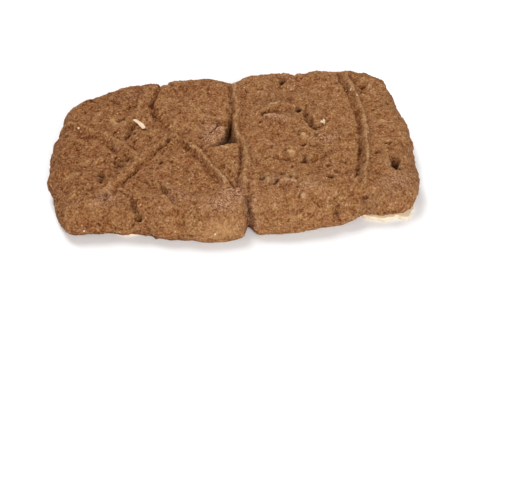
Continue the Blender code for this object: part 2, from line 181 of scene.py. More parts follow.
# Cracks and creases finer than the mould's lines.
SMALL_LINES = lines(
    (-0.25, 0.28, ((-13.9, -0.7), (-15.3, -2.2), (-16.3, -3.5))),
    (-0.25, 0.3, ((-19.4, -8.2), (-21.2, -10.4), (-22.8, -12.9))),
    (-0.3, 0.3, ((-10.8, -0.4), (-9.0, -3.0))), (-0.35, 0.35, ((-7.0, -7.0), (-6.0, -9.4))),
    (-0.5, 0.3, ((-3.6, -10.2), (-2.4, -12.6), (-1.6, -14.6))),
    (-0.4, 0.32, ((-15.4, -12.9), (-14.4, -15.6), (-13.4, -17.6))),
    (-0.6, 0.3, ((-1.8, -13.4), (-1.5, -14.9))), (-0.4, 0.2, ((-23.4, -13.9), (-22.3, -14.9))),
    (-0.6, 0.3, ((-21.1, -16.2), (-20.8, -17.2), (-20.4, -18.2), (-20.0, -19.6))),
    (-0.2, 0.35, ((-31.8, 5.6), (-30.0, 4.2), (-28.6, 3.1))),
    (0.35, 0.55, ((-9.6, -1.2), (-8.2, -3.2), (-6.9, -5.2))),
    (-0.25, 0.4, ((-9.5, 19.0), (-7.0, 13.5), (-6.0, 10.0))), (-0.25, 0.4, ((-3.5, 17.0), (-2.5, 12.5))),
    (-0.45, 0.35, ((28.5, 18.0), (29.0, 14.5), (29.8, 12.5))),
    (0.3, 0.3, ((26.6, 18.0), (27.3, 13.0), (27.7, 9.6))),
    (-0.35, 0.3, ((16.3, 4.4), (16.2, 7.0), (16.9, 9.2), (18.6, 10.1))),
    (0.25, 0.35, ((17.4, 9.4), (19.0, 9.8), (20.8, 8.8))),
    (-0.25, 0.45, ((14.4, -9.8), (16.8, -8.6), (19.0, -6.8), (21.8, -6.0))),
    (-0.4, 0.4, ((16.0, 6.4), (16.3, 3.8), (17.2, 2.2), (18.8, 1.8), (20.3, 2.8))),
    (0.2, 0.45, ((14.9, -8.1), (17.1, -7.4), (19.5, -5.7), (22.3, -4.7))),
    (0.2, 0.35, ((14.2, -16.5), (16.7, -16.0), (19.0, -15.4))),
    (-0.3, 0.3, ((-3.4, -1.6), (-2.6, 0.6), (-1.2, 1.6), (-0.6, 3.6))),
    (-0.6, 0.24, ((-3.8, 3.4), (-3.4, 3.8), (-2.8, 4.4), (-2.4, 5.3))),
    (-0.4, 0.28, ((-15.2, -13.6), (-14.0, -15.4), (-12.6, -17.3))),
)
# Pits and knobs finer than the mould's.
SMALL_SPOTS = spots(
    (-0.5, -23.0, 7.6, 0.5, 0.4), (-0.7, -21.5, 1.9, 0.5, 0.4, 60), (-0.5, -19.7, 3.3, 0.5, 0.35, 80),
    (-0.6, -19.9, 1.3, 0.5, 0.3, 80), (-0.45, -13.1, 5.1, 0.5, 0.4), (-0.4, -20.0, 5.6, 0.6, 0.4, 60),
    (-0.4, -20.9, 3.3, 0.6, 0.4, 100), (-0.7, -24.2, -4.5, 0.5, 0.4), (-0.6, -21.6, -4.2, 0.5, 0.3, 80),
    (-0.5, -23.8, -3.3, 0.6, 0.35, 40), (-0.5, -23.0, -5.6, 0.7, 0.4), (-0.5, -14.9, -7.0, 0.7, 0.35, 80),
    (0.45, -6.1, 9.9, 0.9, 0.45, 100), (0.45, -4.2, 6.5, 0.4, 0.4), (-0.7, -5.2, 2.6, 0.5, 0.28, -20),
    (0.8, 5.4, -14.8, 0.8, 0.65), (0.8, 9.0, -15.8, 0.8, 0.6), (0.55, 11.5, -19.9, 0.6, 0.5),
    (-0.6, 4.1, -12.9, 0.9, 0.4, 60), (-0.6, 6.6, -15.4, 0.4, 0.35), (-0.5, 7.2, -14.8, 0.6, 0.3, 60),
    (-0.45, 8.2, -12.8, 1.0, 0.3, 160), (-0.5, 10.6, -14.3, 0.8, 0.35, 150),
    (-0.6, 17.9, -14.5, 0.6, 0.4, 30), (-0.6, 19.3, -13.1, 0.6, 0.35, 40), (-0.5, 16.4, -16.1, 0.6, 0.35),
    (-0.5, 17.4, -23.4, 0.4, 0.4), (-0.5, 18.7, -22.6, 0.5, 0.4), (0.45, 35.1, 7.7, 0.8, 0.5, 60),
    (-0.6, 31.3, -5.7, 0.5, 0.35), (-0.5, 28.3, -8.3, 0.6, 0.4), (0.4, 29.6, -10.4, 0.7, 0.5),
    (0.5, 14.6, -1.7, 0.6, 0.5), (0.45, 16.4, -1.3, 0.6, 0.4), (0.5, 18.0, -2.4, 0.5, 0.4),
    (0.5, 19.7, -2.6, 0.5, 0.4), (0.45, 21.1, -2.7, 0.5, 0.35), (0.4, 22.6, -2.3, 0.5, 0.35),
    (-0.8, -26.8, -10.5, 0.45, 0.4), (-0.4, -24.4, -0.5, 1.4, 0.6, 120),
    (-0.6, -16.9, 1.5, 0.95, 0.4, 88, 2.0), (-0.9, -13.2, 0.6, 0.5, 0.4),
    (-1.3, -6.3, 1.3, 0.35, 0.3, 0, 2.0), (-0.6, -10.7, -4.7, 0.25, 0.25), (0.3, -8.3, -2.6, 0.8, 0.5, 60),
    (-0.45, -8.7, -21.8, 1.3, 0.8), (-0.25, -8.7, -16.4, 1.6, 0.8, 20), (-0.5, -4.6, -22.4, 0.8, 0.7),
    (-0.55, -25.9, -14.4, 0.9, 0.4, 100), (-3.4, -20.05, -19.35, 0.5, 0.4, 0, 2.0),
    (-0.6, -21.4, -20.2, 0.6, 0.4, 40), (-0.35, -29.6, -5.3, 1.5, 1.1), (-0.3, -27.8, -2.0, 1.3, 0.9, 30),
    (0.3, -30.8, -8.0, 1.6, 1.2), (0.35, -24.9, -12.2, 1.0, 0.8), (0.3, -22.3, -10.2, 1.2, 0.7, 30),
    (-0.4, -28.5, -12.6, 0.9, 0.6, 50), (0.3, -32.0, -13.5, 1.5, 1.0, 60),
    (-0.3, -31.0, 0.5, 1.6, 0.8, 100), (-0.45, -28.5, 16.2, 1.3, 0.5, 130), (-0.4, -20.5, 16.5, 0.8, 0.5),
    (0.35, -20.2, 18.5, 1.3, 0.8), (0.3, -16.7, 19.2, 1.2, 0.8), (-0.3, -30.8, 11.5, 1.5, 0.6, 40),
    (0.45, -23.9, 7.2, 1.3, 0.6, 100), (0.3, 4.5, 16.3, 0.6, 0.5), (0.4, 6.6, 18.0, 1.0, 0.7),
    (-0.45, 7.8, 15.9, 0.7, 0.5), (-0.6, 12.8, 20.8, 1.5, 0.9), (-0.45, 13.7, 12.2, 0.9, 0.5, 120),
    (0.3, 14.6, 14.8, 0.5, 0.4), (-0.35, 16.6, 14.6, 1.2, 0.8), (-0.4, 18.9, 13.1, 1.6, 0.8, 160),
    (0.35, 20.8, 12.8, 0.7, 0.55), (0.3, 9.2, 18.6, 1.0, 0.7), (0.35, 16.9, 19.8, 1.2, 0.8),
    (-0.55, 17.4, 0.8, 0.5, 0.35), (-0.5, 18.4, 1.6, 0.4, 0.3), (-0.55, 11.5, 4.5, 0.55, 0.35),
    (0.25, 8.3, 5.0, 0.7, 0.5), (-0.8, 14.0, -3.8, 0.6, 0.4), (-0.45, 16.3, -4.3, 1.4, 0.35),
    (-0.3, 10.8, -2.1, 1.0, 0.4), (-0.3, 9.2, 0.2, 1.2, 0.4), (-0.5, 7.8, -7.1, 0.9, 0.35, 150),
    (-0.5, 9.9, -8.2, 0.9, 0.35, 160), (0.3, 9.3, -6.6, 1.0, 0.5, 140), (-0.55, 10.8, -10.9, 0.35, 0.3),
    (-0.65, 18.9, -12.6, 0.55, 0.4), (-0.7, 17.8, -14.5, 0.7, 0.4), (0.35, 18.6, -13.5, 0.7, 0.4),
    (-0.7, 6.9, -15.3, 0.7, 0.4), (-0.65, 10.8, -15.2, 0.45, 0.4), (-0.65, 4.7, -13.6, 0.9, 0.5, 30),
    (0.3, 6.0, -12.6, 1.2, 0.6, 150), (-0.4, 4.3, -11.9, 0.6, 0.4), (0.6, 7.6, -15.9, 0.75, 0.5),
    (0.6, 10.3, -15.9, 0.7, 0.5), (-0.8, 1.0, -20.4, 1.5, 0.4, 95), (-0.4, 10.9, -19.6, 0.4, 0.5),
    (0.3, 14.8, -14.6, 1.4, 0.7), (0.4, 30.7, 16.7, 1.0, 0.6, 60), (-0.55, 29.9, 14.2, 0.7, 0.45),
    (-0.5, 34.7, 8.0, 0.7, 0.4, 100), (0.3, 31.4, 1.2, 0.8, 0.6), (-0.9, 31.2, -5.9, 0.5, 0.35),
    (-0.45, 27.0, -14.0, 0.7, 0.5, 60), (0.45, 33.8, -11.0, 1.2, 0.9), (0.25, 31.9, -15.2, 1.2, 0.7),
    (-0.35, 30.8, 5.6, 0.8, 0.4, 60), (-0.35, 30.6, 11.4, 0.8, 0.4, 110), (-0.3, 21.5, -13.5, 0.8, 0.5),
    (-0.3, 21.6, -10.4, 0.7, 0.4), (0.3, 33.8, 4.4, 1.2, 0.8), (0.3, 34.9, -4.4, 1.1, 0.7),
    (-0.3, 33.6, -1.8, 1.0, 0.5, 60), (0.3, 25.5, -19.0, 1.3, 0.8), (-0.5, 23.7, -19.6, 0.5, 0.7),
    (0.25, 6.6, -2.4, 1.5, 0.8, 160), (0.25, 5.1, 3.4, 1.2, 0.9), (-0.25, 6.2, 12.4, 1.5, 0.7, 70),
    (0.25, 9.3, 13.6, 1.5, 0.8), (0.3, -5.6, 4.5, 0.8, 0.6), (0.35, -3.9, 1.3, 0.9, 0.7),
    (0.35, -2.2, 3.4, 0.9, 0.7), (-0.4, -9.3, 2.7, 1.1, 0.6, 20), (0.3, -8.2, 4.8, 1.4, 0.7),
)
# The outline's lobes (+, outwards) and notches (-): (x, y, reach, half width).
EDGE_FEATURES = (
    (-34.0, -18.5, 0.8, 3.0), (-36.9, -10.2, -1.1, 3.0), (-37.0, 11.8, -2.0, 5.4), (-38.0, 5.0, -0.4, 3.0),
    (-27.5, -21.0, -2.2, 4.2), (-20.8, -22.3, -2.0, 4.0), (-5.0, -22.6, 1.4, 5.0), (0.9, -22.6, -2.1, 0.8),
    (8.5, -22.6, 0.6, 5.5), (24.6, -21.9, -1.5, 2.4), (31.5, -19.3, 1.3, 4.4), (38.0, -8.0, -0.7, 5.0),
    (37.5, 9.5, -0.6, 4.0), (34.5, 20.0, 1.7, 5.5), (26.0, 24.0, 1.4, 5.5), (18.8, 24.2, -1.3, 2.4),
    (12.5, 24.3, 0.9, 4.0), (2.2, 24.3, -2.3, 3.4), (-8.3, 24.3, 0.6, 3.2), (-13.9, 24.3, -2.1, 1.0),
    (-31.5, 20.0, -2.1, 6.5),
)
# Pits and knobs on the front wall: (x, y, z, size, rise).
WALL_MARKS = (
    (17.7, -21.8, 3.4, 0.55, -0.9), (21.3, -21.4, 3.1, 0.5, -0.8), (18.1, -21.2, 4.7, 0.6, -0.6),
    (17.0, -20.9, 5.7, 0.5, -0.6), (20.6, -21.3, 4.2, 0.5, -0.5), (23.6, -19.4, 5.0, 0.4, -0.8),
    (23.4, -20.3, 4.3, 0.4, -0.4), (23.4, -20.8, 3.1, 0.4, -0.5), (-20.0, -19.4, 4.6, 0.5, -0.9),
    (11.5, -20.1, 7.2, 0.65, 0.45), (14.4, -22.3, 4.0, 0.7, 0.35), (16.1, -21.3, 5.4, 0.6, 0.35),
    (12.5, -21.8, 5.0, 0.6, 0.3),
)
# Where the underside's edge lifts off the floor: (x, y, lift, half width).
FOOT_LIFTS = (
    (-28.0, -19.5, 1.0, 3.4), (-22.0, -20.2, 0.6, 2.6), (0.9, -21.0, 1.2, 1.6), (23.0, -20.5, 0.6, 3.0),
    (16.5, 23.0, 0.6, 3.5), (-13.9, 22.5, 0.9, 1.6),
)


def smooth_noise(x: Places, y: Places, z: Places | float, size: float, seed: float) -> Places:
    """Makes swells of about one unit's height.

    Args:
        x: places along the biscuit, in millimetres.
        y: places across it.
        z: their heights.
        size: how far across each swell is.
        seed: another number gives other swells.

    Returns:
        The swells' height at each place.
    """
    x, y, z = np.broadcast_arrays(x, y, z)
    places = zip(np.ravel(x) / size, np.ravel(y) / size, np.ravel(z) / size + seed)
    values = [noise.noise(Vector(place)) for place in places]
    return np.reshape(values, np.shape(x)) * SWELL_HEIGHT


def ramp(value: Places) -> Places:
    """Goes smoothly from 0 to 1 as the value does."""
    value = np.clip(value, 0.0, 1.0)
    return value * value * (3 - 2 * value)


def turned(along: Places, across: Places, degrees: float) -> tuple[Places, Places]:
    """Turns places about the origin.

    Args:
        along: how far they lie along the first direction.
        across: how far they lie along the second.
        degrees: how far they turn.

    Returns:
        Their x and y.
    """
    angle = math.radians(degrees)
    x = along * math.cos(angle) - across * math.sin(angle)
    y = along * math.sin(angle) + across * math.cos(angle)
    return x, y


def rounded_box(angle: Places, length: float, width: float, power: float) -> Places:
    """Draws a box with rounded corners.

    Args:
        angle: directions from its middle.
        length: how long it is.
        width: how wide it is.
        power: 2 for an oval, more for squarer corners.

    Returns:
        The distance from its middle to its edge in each direction.
    """
    along = np.abs(np.cos(angle) / (length / 2)) ** power
    across = np.abs(np.sin(angle) / (width / 2)) ** power
    return (along + across) ** (-1 / power)


def distance_to_line(x: Places, y: Places, points: tuple[Corner, ...]) -> Places:
    """Measures how far places lie from a line.

    Args:
        x: places along the biscuit.
        y: places across it.
        points: the line's corners.

    Returns:
        The distance from each place to the nearest point of the line.
    """
    nearest = np.full(np.shape(x), np.inf)
    for (ax, ay), (bx, by) in zip(points, points[1:]):
        run = (bx - ax) ** 2 + (by - ay) ** 2
        share = np.clip(((x - ax) * (bx - ax) + (y - ay) * (by - ay)) / run, 0, 1)
        nearest = np.minimum(nearest, np.hypot(x - ax - share * (bx - ax), y - ay - share * (by - ay)))
    return nearest


def depth_inside(x: Places, y: Places, corners: tuple[Corner, ...]) -> Places:
    """Measures how deep places lie inside a convex outline.

    Args:
        x: places along the biscuit.
        y: places across it.
        corners: the outline's corners, in order.

    Returns:
        The distance to the nearest side, negative outside.
    """
    sides = list(zip(corners, corners[1:] + corners[:1]))
    turn = sum(ax * by - bx * ay for (ax, ay), (bx, by) in sides)
    depth = np.full(np.shape(x), np.inf)
    for (ax, ay), (bx, by) in sides:
        side = ((bx - ax) * (y - ay) - (by - ay) * (x - ax)) / math.hypot(bx - ax, by - ay)
        depth = np.minimum(depth, math.copysign(1.0, turn) * side)
    return depth


def with_bells(amounts: Places, x: Places, y: Places, rows: tuple[tuple[float, ...], ...]) -> Places:
    """Adds a round bell to some amounts for each row.

    Args:
        amounts: what each place has.
        x: places along the biscuit.
        y: places across it.
        rows: x, y, height and half width of each bell.

    Returns:
        What each place has then.
    """
    for bell_x, bell_y, height, half_width in rows:
        away = np.hypot(x - bell_x, y - bell_y) / half_width
        amounts = amounts + height * np.exp(-away ** 2)
    return amounts


@dataclass(frozen=True)
class Mould:
    """The shape that the mould and the oven give the dough, in millimetres."""

    length: float = 75.4
    width: float = 46.6
    thickness: float = 6.9
    outline_power: float = 4.2
    outline_shift_y: float = 0.9
    rim_reach: float = 5.0
    rim_foot: float = 2.3
    rim_tuck: float = 0.5
    # The rim's bend is this much longer than the straight line under it.
    rim_arc: float = 1.11
    # The share of the relief that is lost down the rim, and how late on the bend that sets in.
    rim_fade: float = 0.85
    rim_fade_delay: float = 0.3
    # Height and size of the swells of the top and of the edge.
    swells: tuple[Corner, ...] = ((0.26, 13.0), (0.17, 4.6), (0.1, 2.0))
    edge_swells: tuple[Corner, ...] = ((0.3, 5.0), (0.2, 2.2))
    # How far lines and spots stray from where they are drawn, and over what size.
    wander: Corner = (0.25, 3.2)
    spot_wander: Corner = (0.28, 1.3)
    # How much the lines' relief varies, and over what size.
    fade: Corner = (0.22, 3.6)
    line_relief: float = 1.15
    small_relief: float = 1.5
    swell_seed: float = 0.3
    edge_seed: float = 7.3
    wander_seeds: Corner = (20.3, 30.3)
    fade_seed: float = 40.3

    def edge_radius(self, angle: Places, z: Places) -> Places:
        """Finds the edge of the biscuit.

        Args:
            angle: directions from the outline's middle.
            z: heights, because the side is uneven.

        Returns:
            The distance from the middle to the edge.
        """
        radius = rounded_box(angle, self.length, self.width, self.outline_power)
        x = radius * np.cos(angle)
        y = radius * np.sin(angle) + self.outline_shift_y
        reach = np.zeros(np.shape(angle))
        for number, (swell, size) in enumerate(self.edge_swells):
            reach = reach + swell * smooth_noise(x, y, z, size, self.edge_seed + number)
        return radius + with_bells(reach, x, y, EDGE_FEATURES)

    def plan(self, u: Places, v: Places, z: Places, inset: Places) -> tuple[Places, Places, Places]:
        """Lays a square grid out over the biscuit.

        Args:
            u: grid places from -1 to 1 along the biscuit.
            v: grid places from -1 to 1 across it.
            z: rough heights, for the unevenness of the side.
            inset: how far the side is drawn in.

        Returns:
            x, y and how far round the rim's bend each place is: 0 on top, 1 at the edge.
        """
        share = np.maximum(np.abs(u), np.abs(v))
        angle = np.arctan2(v * self.width, u * self.length)
        edge = self.edge_radius(angle, z)
        cosine = np.abs(np.cos(angle))
        sine = np.abs(np.sin(angle))
        pull_x = (cosine / (self.length / 2)) ** (self.outline_power - 1) / (self.length / 2)
        pull_y = (sine / (self.width / 2)) ** (self.outline_power - 1) / (self.width / 2)
        facing = (cosine * pull_x + sine * pull_y) / np.hypot(pull_x, pull_y)
        reach = self.rim_reach / facing
        bend = math.hypot(self.rim_reach, self.thickness - self.rim_foot) * self.rim_arc
        start = (edge - reach) / (edge - reach + bend)
        round_rim = np.clip((share - start) / (1 - start), 0, 1)
        on_top = (edge - reach) * share / start
        on_bend = edge - reach * (1 - np.sin(round_rim * math.pi / 2))
        radius = np.where(share < start, on_top, on_bend) - inset / facing
        return radius * np.cos(angle), radius * np.sin(angle) + self.outline_shift_y, round_rim

    def wandered(self, x: Places, y: Places, wander: Corner) -> tuple[Places, Places]:
        """Shifts places a little, so that what is drawn straight or round comes out uneven."""
        off, size = wander
        away_x, away_y = (off * smooth_noise(x, y, 0.0, size, seed) for seed in self.wander_seeds)
        return x + away_x, y + away_y

    def relief(self, x: Places, y: Places) -> Places:
        """Gives the height of the mill's relief over the plain top.

        Args:
            x: places along the biscuit.
            y: places across it.

        Returns:
            The height of each place, in millimetres.
        """
        height = np.zeros(np.shape(x))
        line_x, line_y = self.wandered(x, y, self.wander)
        spot_x, spot_y = self.wandered(x, y, self.spot_wander)
        share, size = self.fade
        strength = self.line_relief + share * smooth_noise(x, y, 0.0, size, self.fade_seed)
        for line in MILL_LINES + SMALL_LINES:
            away = distance_to_line(line_x, line_y, line.points) / line.half_width
            height = height + line.rise * strength * np.exp(-away ** 2)
        for marks, weight in ((MILL_SPOTS, 1.0), (SMALL_SPOTS, self.small_relief)):
            for spot in marks:
                height = height + weight * spot.rise * spot.share(spot_x, spot_y)
        for patch in MILL_PATCHES:
            inside = depth_inside(x, y, patch.corners) / patch.softness
            height = height + patch.rise * ramp(inside + 0.5)
        for number, (swell, size) in enumerate(self.swells):
            height = height + swell * smooth_noise(x, y, 0.0, size, self.swell_seed + number)
        return height

    def press(self, co: Places) -> Places:
        """Shapes a blank slab.

        Args:
            co: the blank's places as rows of u, v from -1 to 1 and w from 0 below to 1 on top.

        Returns:
            The same places on the biscuit, in millimetres.
        """
        u, v, w = co.T
        x, y, round_rim = self.plan(u, v, w * self.thickness, self.rim_tuck * (1 - w) ** 2)
        kept = 1 - self.rim_fade * ramp(round_rim * (1 + self.rim_fade_delay) - self.rim_fade_delay)
        top = self.rim_foot + (self.thickness - self.rim_foot) * np.cos(round_rim * math.pi / 2)
        top = top + self.relief(x, y) * kept
        side = np.maximum(np.abs(u), np.abs(v)) > 1 - TINY
        # The foot's lift starts halfway round the rim's bend.
        lift = with_bells(np.zeros(np.shape(x)), x, y, FOOT_LIFTS) * ramp(round_rim * 2 - 1)
        z = np.where(w > 1 - TINY, top, np.where(side, lift + (top - lift) * w, lift))
        return np.stack([x, y, z], 1)


# ---------------------------------------------------------------- small tools for meshes


def deselect() -> None:
    """Leaves nothing selected, in object mode."""
    if bpy.context.object and bpy.context.object.mode != "OBJECT":
        bpy.ops.object.mode_set(mode="OBJECT")
    bpy.ops.object.select_all(action="DESELECT")


def make_active(piece: Piece) -> None:
    """Selects one piece alone."""
    deselect()
    piece.select_set(True)
    bpy.context.view_layer.objects.active = piece


def places_of(piece: Piece) -> Places:
    """Reads a piece's vertices as rows of x, y and z, in metres."""
    co = np.empty(len(piece.data.vertices) * 3, np.float32)
    piece.data.vertices.foreach_get("co", co)
    return co.reshape(-1, 3).astype(float)


def set_places(piece: Piece, co: Places) -> None:
    """Moves a piece's vertices to new places."""
    piece.data.vertices.foreach_set("co", co.astype(np.float32).ravel())
    piece.data.update()


def normals_of(piece: Piece) -> Places:
    """Reads the direction that each vertex faces."""
    normals = np.empty(len(piece.data.vertices) * 3, np.float32)
    piece.data.vertices.foreach_get("normal", normals)
    return normals.reshape(-1, 3).astype(float)


def to_frame(x: float | Places, y: float | Places) -> tuple[float | Places, float | Places]:
    """Moves a place in the drawing to the piece's own frame, both in millimetres."""
    return x - BOX_MIDDLE[0], y - BOX_MIDDLE[1]


def to_drawing(co: Places) -> tuple[Places, Places]:
    """Finds where places on the piece, in metres, lie in the drawing."""
    return co[:, 0] / MM + BOX_MIDDLE[0], co[:, 1] / MM + BOX_MIDDLE[1]


def smoothed(piece: Piece, rounds: int) -> Places:
    """Averages each vertex with its neighbours.

    Args:
        piece: a mesh object.
        rounds: how many times; more rounds take in a wider area.

    Returns:
        The averaged places.
    """
    edges = np.empty(len(piece.data.edges) * 2, np.int32)
    piece.data.edges.foreach_get("vertices", edges)
    a, b = edges.reshape(-1, 2).T
    co = places_of(piece)
    count = np.bincount(np.concatenate([a, b]), minlength=len(co))[:, None]
    for _ in range(rounds):
        total = [np.bincount(a, co[b, axis], len(co)) + np.bincount(b, co[a, axis], len(co))
                 for axis in range(3)]
        co = 0.5 * co + 0.5 * np.stack(total, 1) / count
    return co


def store(piece: Piece, name: str, values: Places) -> None:
    """Stores one number for each vertex, which a material can read."""
    layer = piece.data.attributes.new(name, "FLOAT", "POINT")
    layer.data.foreach_set("value", values.astype(np.float32))


def apply_modifier(piece: Piece, kind: str, name: str, **settings: object) -> None:
    """Adds a modifier and applies it.

    Args:
        piece: the mesh object.
        kind: Blender's type of modifier.
        name: what to call it.
        settings: values to set on it.
    """
    make_active(piece)
    step = piece.modifiers.new(name, kind)
    for key, value in settings.items():
        setattr(step, key, value)
    bpy.ops.object.modifier_apply(modifier=step.name)


def thicken(height: float) -> None:
    """Extrudes the flat active piece upwards, to a closed solid that faces outwards."""
    bpy.ops.object.mode_set(mode="EDIT")
    bpy.ops.mesh.select_all(action="SELECT")
    bpy.ops.mesh.extrude_region_move(TRANSFORM_OT_translate={"value": (0, 0, height)})
    bpy.ops.mesh.select_all(action="SELECT")
    bpy.ops.mesh.normals_make_consistent(inside=False)
    bpy.ops.object.mode_set(mode="OBJECT")


def slab(name: str, x_cells: int, y_cells: int) -> Piece:
    """Makes a blank slab, from -1 to 1 along and across and from 0 to 1 in height.

    Args:
        name: the piece's name.
        x_cells: how many cells it has along.
        y_cells: how many cells it has across.

    Returns:
        The mesh object.
    """
    deselect()
    bpy.ops.mesh.primitive_grid_add(x_subdivisions=x_cells, y_subdivisions=y_cells, size=2.0)
    blank = bpy.context.object
    blank.name = blank.data.name = name
    thicken(1.0)
    return blank


def prism(name: str, outline: tuple[Places, Places], low: float, high: float) -> Piece:
    """Makes a flat plate.

    Args:
        name: the piece's name.
        outline: x and y of its corners, in millimetres.
        low: height of its underside.
        high: height of its top.

    Returns:
        The mesh object, in metres.
    """
    x, y = outline
    deselect()
    bpy.ops.mesh.primitive_circle_add(vertices=len(x), radius=1.0, fill_type="NGON")
    plate = bpy.context.object
    plate.name = plate.data.name = name
    set_places(plate, np.stack([x, y, np.full(len(x), low)], 1) * MM)
    thicken((high - low) * MM)
    return plate


def settle(piece: Piece, material: bpy.types.Material, replaced: str) -> None:
    """Dresses a finished piece and rides it on the body, in place of a CAD node.

    Args:
        piece: the finished piece.
        material: its finish.
        replaced: the CAD node that it stands for.
    """
    piece.data.materials.clear()
    piece.data.materials.append(material)
    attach(piece, BODY)
    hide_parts(replaced)
    log.info("%s: %d faces", piece.name, len(piece.data.polygons))


def shade_round(piece: Piece) -> None:
    """Shades a piece smooth all over."""
    make_active(piece)
    bpy.ops.object.shade_smooth()


# ---------------------------------------------------------------- finishes


@dataclass
class NodeTree:
    """A material's node tree, with short ways to add nodes."""

    material: bpy.types.Material
    shader: bpy.types.Node = field(init=False)

    def __post_init__(self) -> None:
        """Finds the shader that every finish ends in."""
        self.material.use_nodes = True
        self.shader = self.material.node_tree.nodes["Principled BSDF"]

    def add(self, kind: str, **settings: object) -> bpy.types.Node:
        """Adds a node of a kind, with settings."""
        node = self.material.node_tree.nodes.new(kind)
        for key, value in settings.items():
            setattr(node, key, value)
        return node

    def feed(self, socket: Socket, value: object) -> None:
        """Gives a socket a link or a plain value."""
        if isinstance(value, bpy.types.NodeSocket):
            self.material.node_tree.links.new(value, socket)
        else:
            socket.default_value = value

    def attribute(self, name: str) -> Socket:
        """Gives a number that is stored on the vertices."""
        return self.add("ShaderNodeAttribute", attribute_name=name).outputs["Fac"]

    def texture(self, kind: str, size_mm: float, shift: tuple[float, float, float]) -> bpy.types.Node:
        """Adds a texture that lies on the piece at a real size.

        Args:
            kind: Blender's type of texture node.
            size_mm: how far across its features are.
            shift: how far it is shifted on the piece, in metres.

        Returns:
            The texture's node.
        """
        mapping = self.add("ShaderNodeMapping")
        mapping.inputs["Location"].default_value = shift
        self.feed(mapping.inputs["Vector"], self.add("ShaderNodeTexCoord").outputs["Object"])
        texture = self.add(kind)
        texture.inputs["Scale"].default_value = 1.0 / (size_mm * MM)
        self.feed(texture.inputs["Vector"], mapping.outputs["Vector"])
        return texture

    def noise(self, size_mm: float, detail: float, roughness: float, offset: float = 0.0) -> Socket:
        """Gives a noise whose swells are about size_mm across.

        Args:
            size_mm: how far across a swell is.
            detail: how many finer layers lie on it.
            roughness: how strong they are.
            offset: another number gives other swells.

        Returns:
            A value around 0.5.
        """
        texture = self.texture("ShaderNodeTexNoise", size_mm, (offset, offset * 0.7, offset * 1.3))
        texture.inputs["Detail"].default_value = detail
        texture.inputs["Roughness"].default_value = roughness
        return texture.outputs["Fac"]

    def cells(self, size_mm: float, offset: float) -> tuple[Socket, Socket]:
        """Scatters points.

        Args:
            size_mm: the space that each point has.
            offset: another number gives other points.

        Returns:
            The distance to the nearest point, and a random colour for each point.
        """
        texture = self.texture("ShaderNodeTexVoronoi", size_mm, (offset, offset * 0.6, offset * 1.7))
        return texture.outputs["Distance"], texture.outputs["Color"]

    def math(self, operation: str, a: object, b: object) -> Socket:
        """Works two values out, each a socket or a number."""
        node = self.add("ShaderNodeMath", operation=operation)
        self.feed(node.inputs[0], a)
        self.feed(node.inputs[1], b)
        return node.outputs["Value"]

    def weigh(self, value: object, weight: float, total: object) -> Socket:
        """Adds a value times a weight to a total."""
        return self.math("ADD", self.math("MULTIPLY", value, weight), total)

    def between(self, value: object, low: float, high: float) -> Socket:
        """Goes smoothly from 0 to 1 as the value goes from low to high, also where high is the lower."""
        node = self.add("ShaderNodeMapRange", interpolation_type="SMOOTHSTEP", clamp=True)
        flip = high < low
        self.feed(node.inputs["Value"], value)
        node.inputs["From Min"].default_value = min(low, high)
        node.inputs["From Max"].default_value = max(low, high)
        node.inputs["To Min"].default_value = 1.0 if flip else 0.0
        node.inputs["To Max"].default_value = 0.0 if flip else 1.0
        return node.outputs["Result"]

    def mix(self, share: object, a: object, b: object, blend: str = "MIX") -> Socket:
        """Mixes two colours, each a socket or a colour."""
        node = self.add("ShaderNodeMix", data_type="RGBA", blend_type=blend)
        self.feed(node.inputs["Factor"], share)
        # The node's sockets for colours are its inputs 6 and 7 and its output 2.
        for socket, value in ((node.inputs[6], a), (node.inputs[7], b)):
            self.feed(socket, value if isinstance(value, bpy.types.NodeSocket) else (*value, 1.0))
        return node.outputs[2]

    def colours(self, value: object, stops: tuple[tuple[float, Colour], ...]) -> Socket:
        """Turns a value into a colour by a row of stops."""
        node = self.add("ShaderNodeValToRGB")
        band = node.color_ramp
        band.interpolation = "EASE"
        while len(band.elements) < len(stops):
            band.elements.new(0.5)
        for element, (at, colour) in zip(band.elements, stops):
            element.position = at
            element.color = (*colour, 1.0)
        self.feed(node.inputs["Fac"], value)
        return node.outputs["Color"]

    def bump(self, height: Socket, strength: float, distance_mm: float,
             normal: Socket | None = None) -> Socket:
        """Turns a height into a bumpy surface, on top of an earlier one where that is given."""
        node = self.add("ShaderNodeBump")
        node.inputs["Strength"].default_value = strength
        node.inputs["Distance"].default_value = distance_mm * MM
        self.feed(node.inputs["Height"], height)
        if normal is not None:
            self.feed(node.inputs["Normal"], normal)
        return node.outputs["Normal"]


class Tint(Enum):
    """How a place in the crust differs from the rest in colour; the dark tint is painted shade."""

    DARK = "painted_shade_tint"
    RED = "tint_red"
    GOLDEN = "tint_golden"
    DUST = "tint_dust"


@dataclass(frozen=True)
class Cast:
    """A cast of colour over the crust, which sets in as its noise goes from low to high."""

    noise: Noise
    low: float
    high: float
    share: float
    colour: Colour
    blend: str = "MULTIPLY"


@dataclass(frozen=True)
class Grains:
    """Points scattered in the crust: dark ones that are spice specks and painted shade of pores, and pale
    grains.
    """

    size: float
    offset: float
    # Only points whose random shade is above this get one.
    rarity: float
    # How far from its point its colour sets in, and where it is full.
    rim: float
    full: float
    colour: Colour


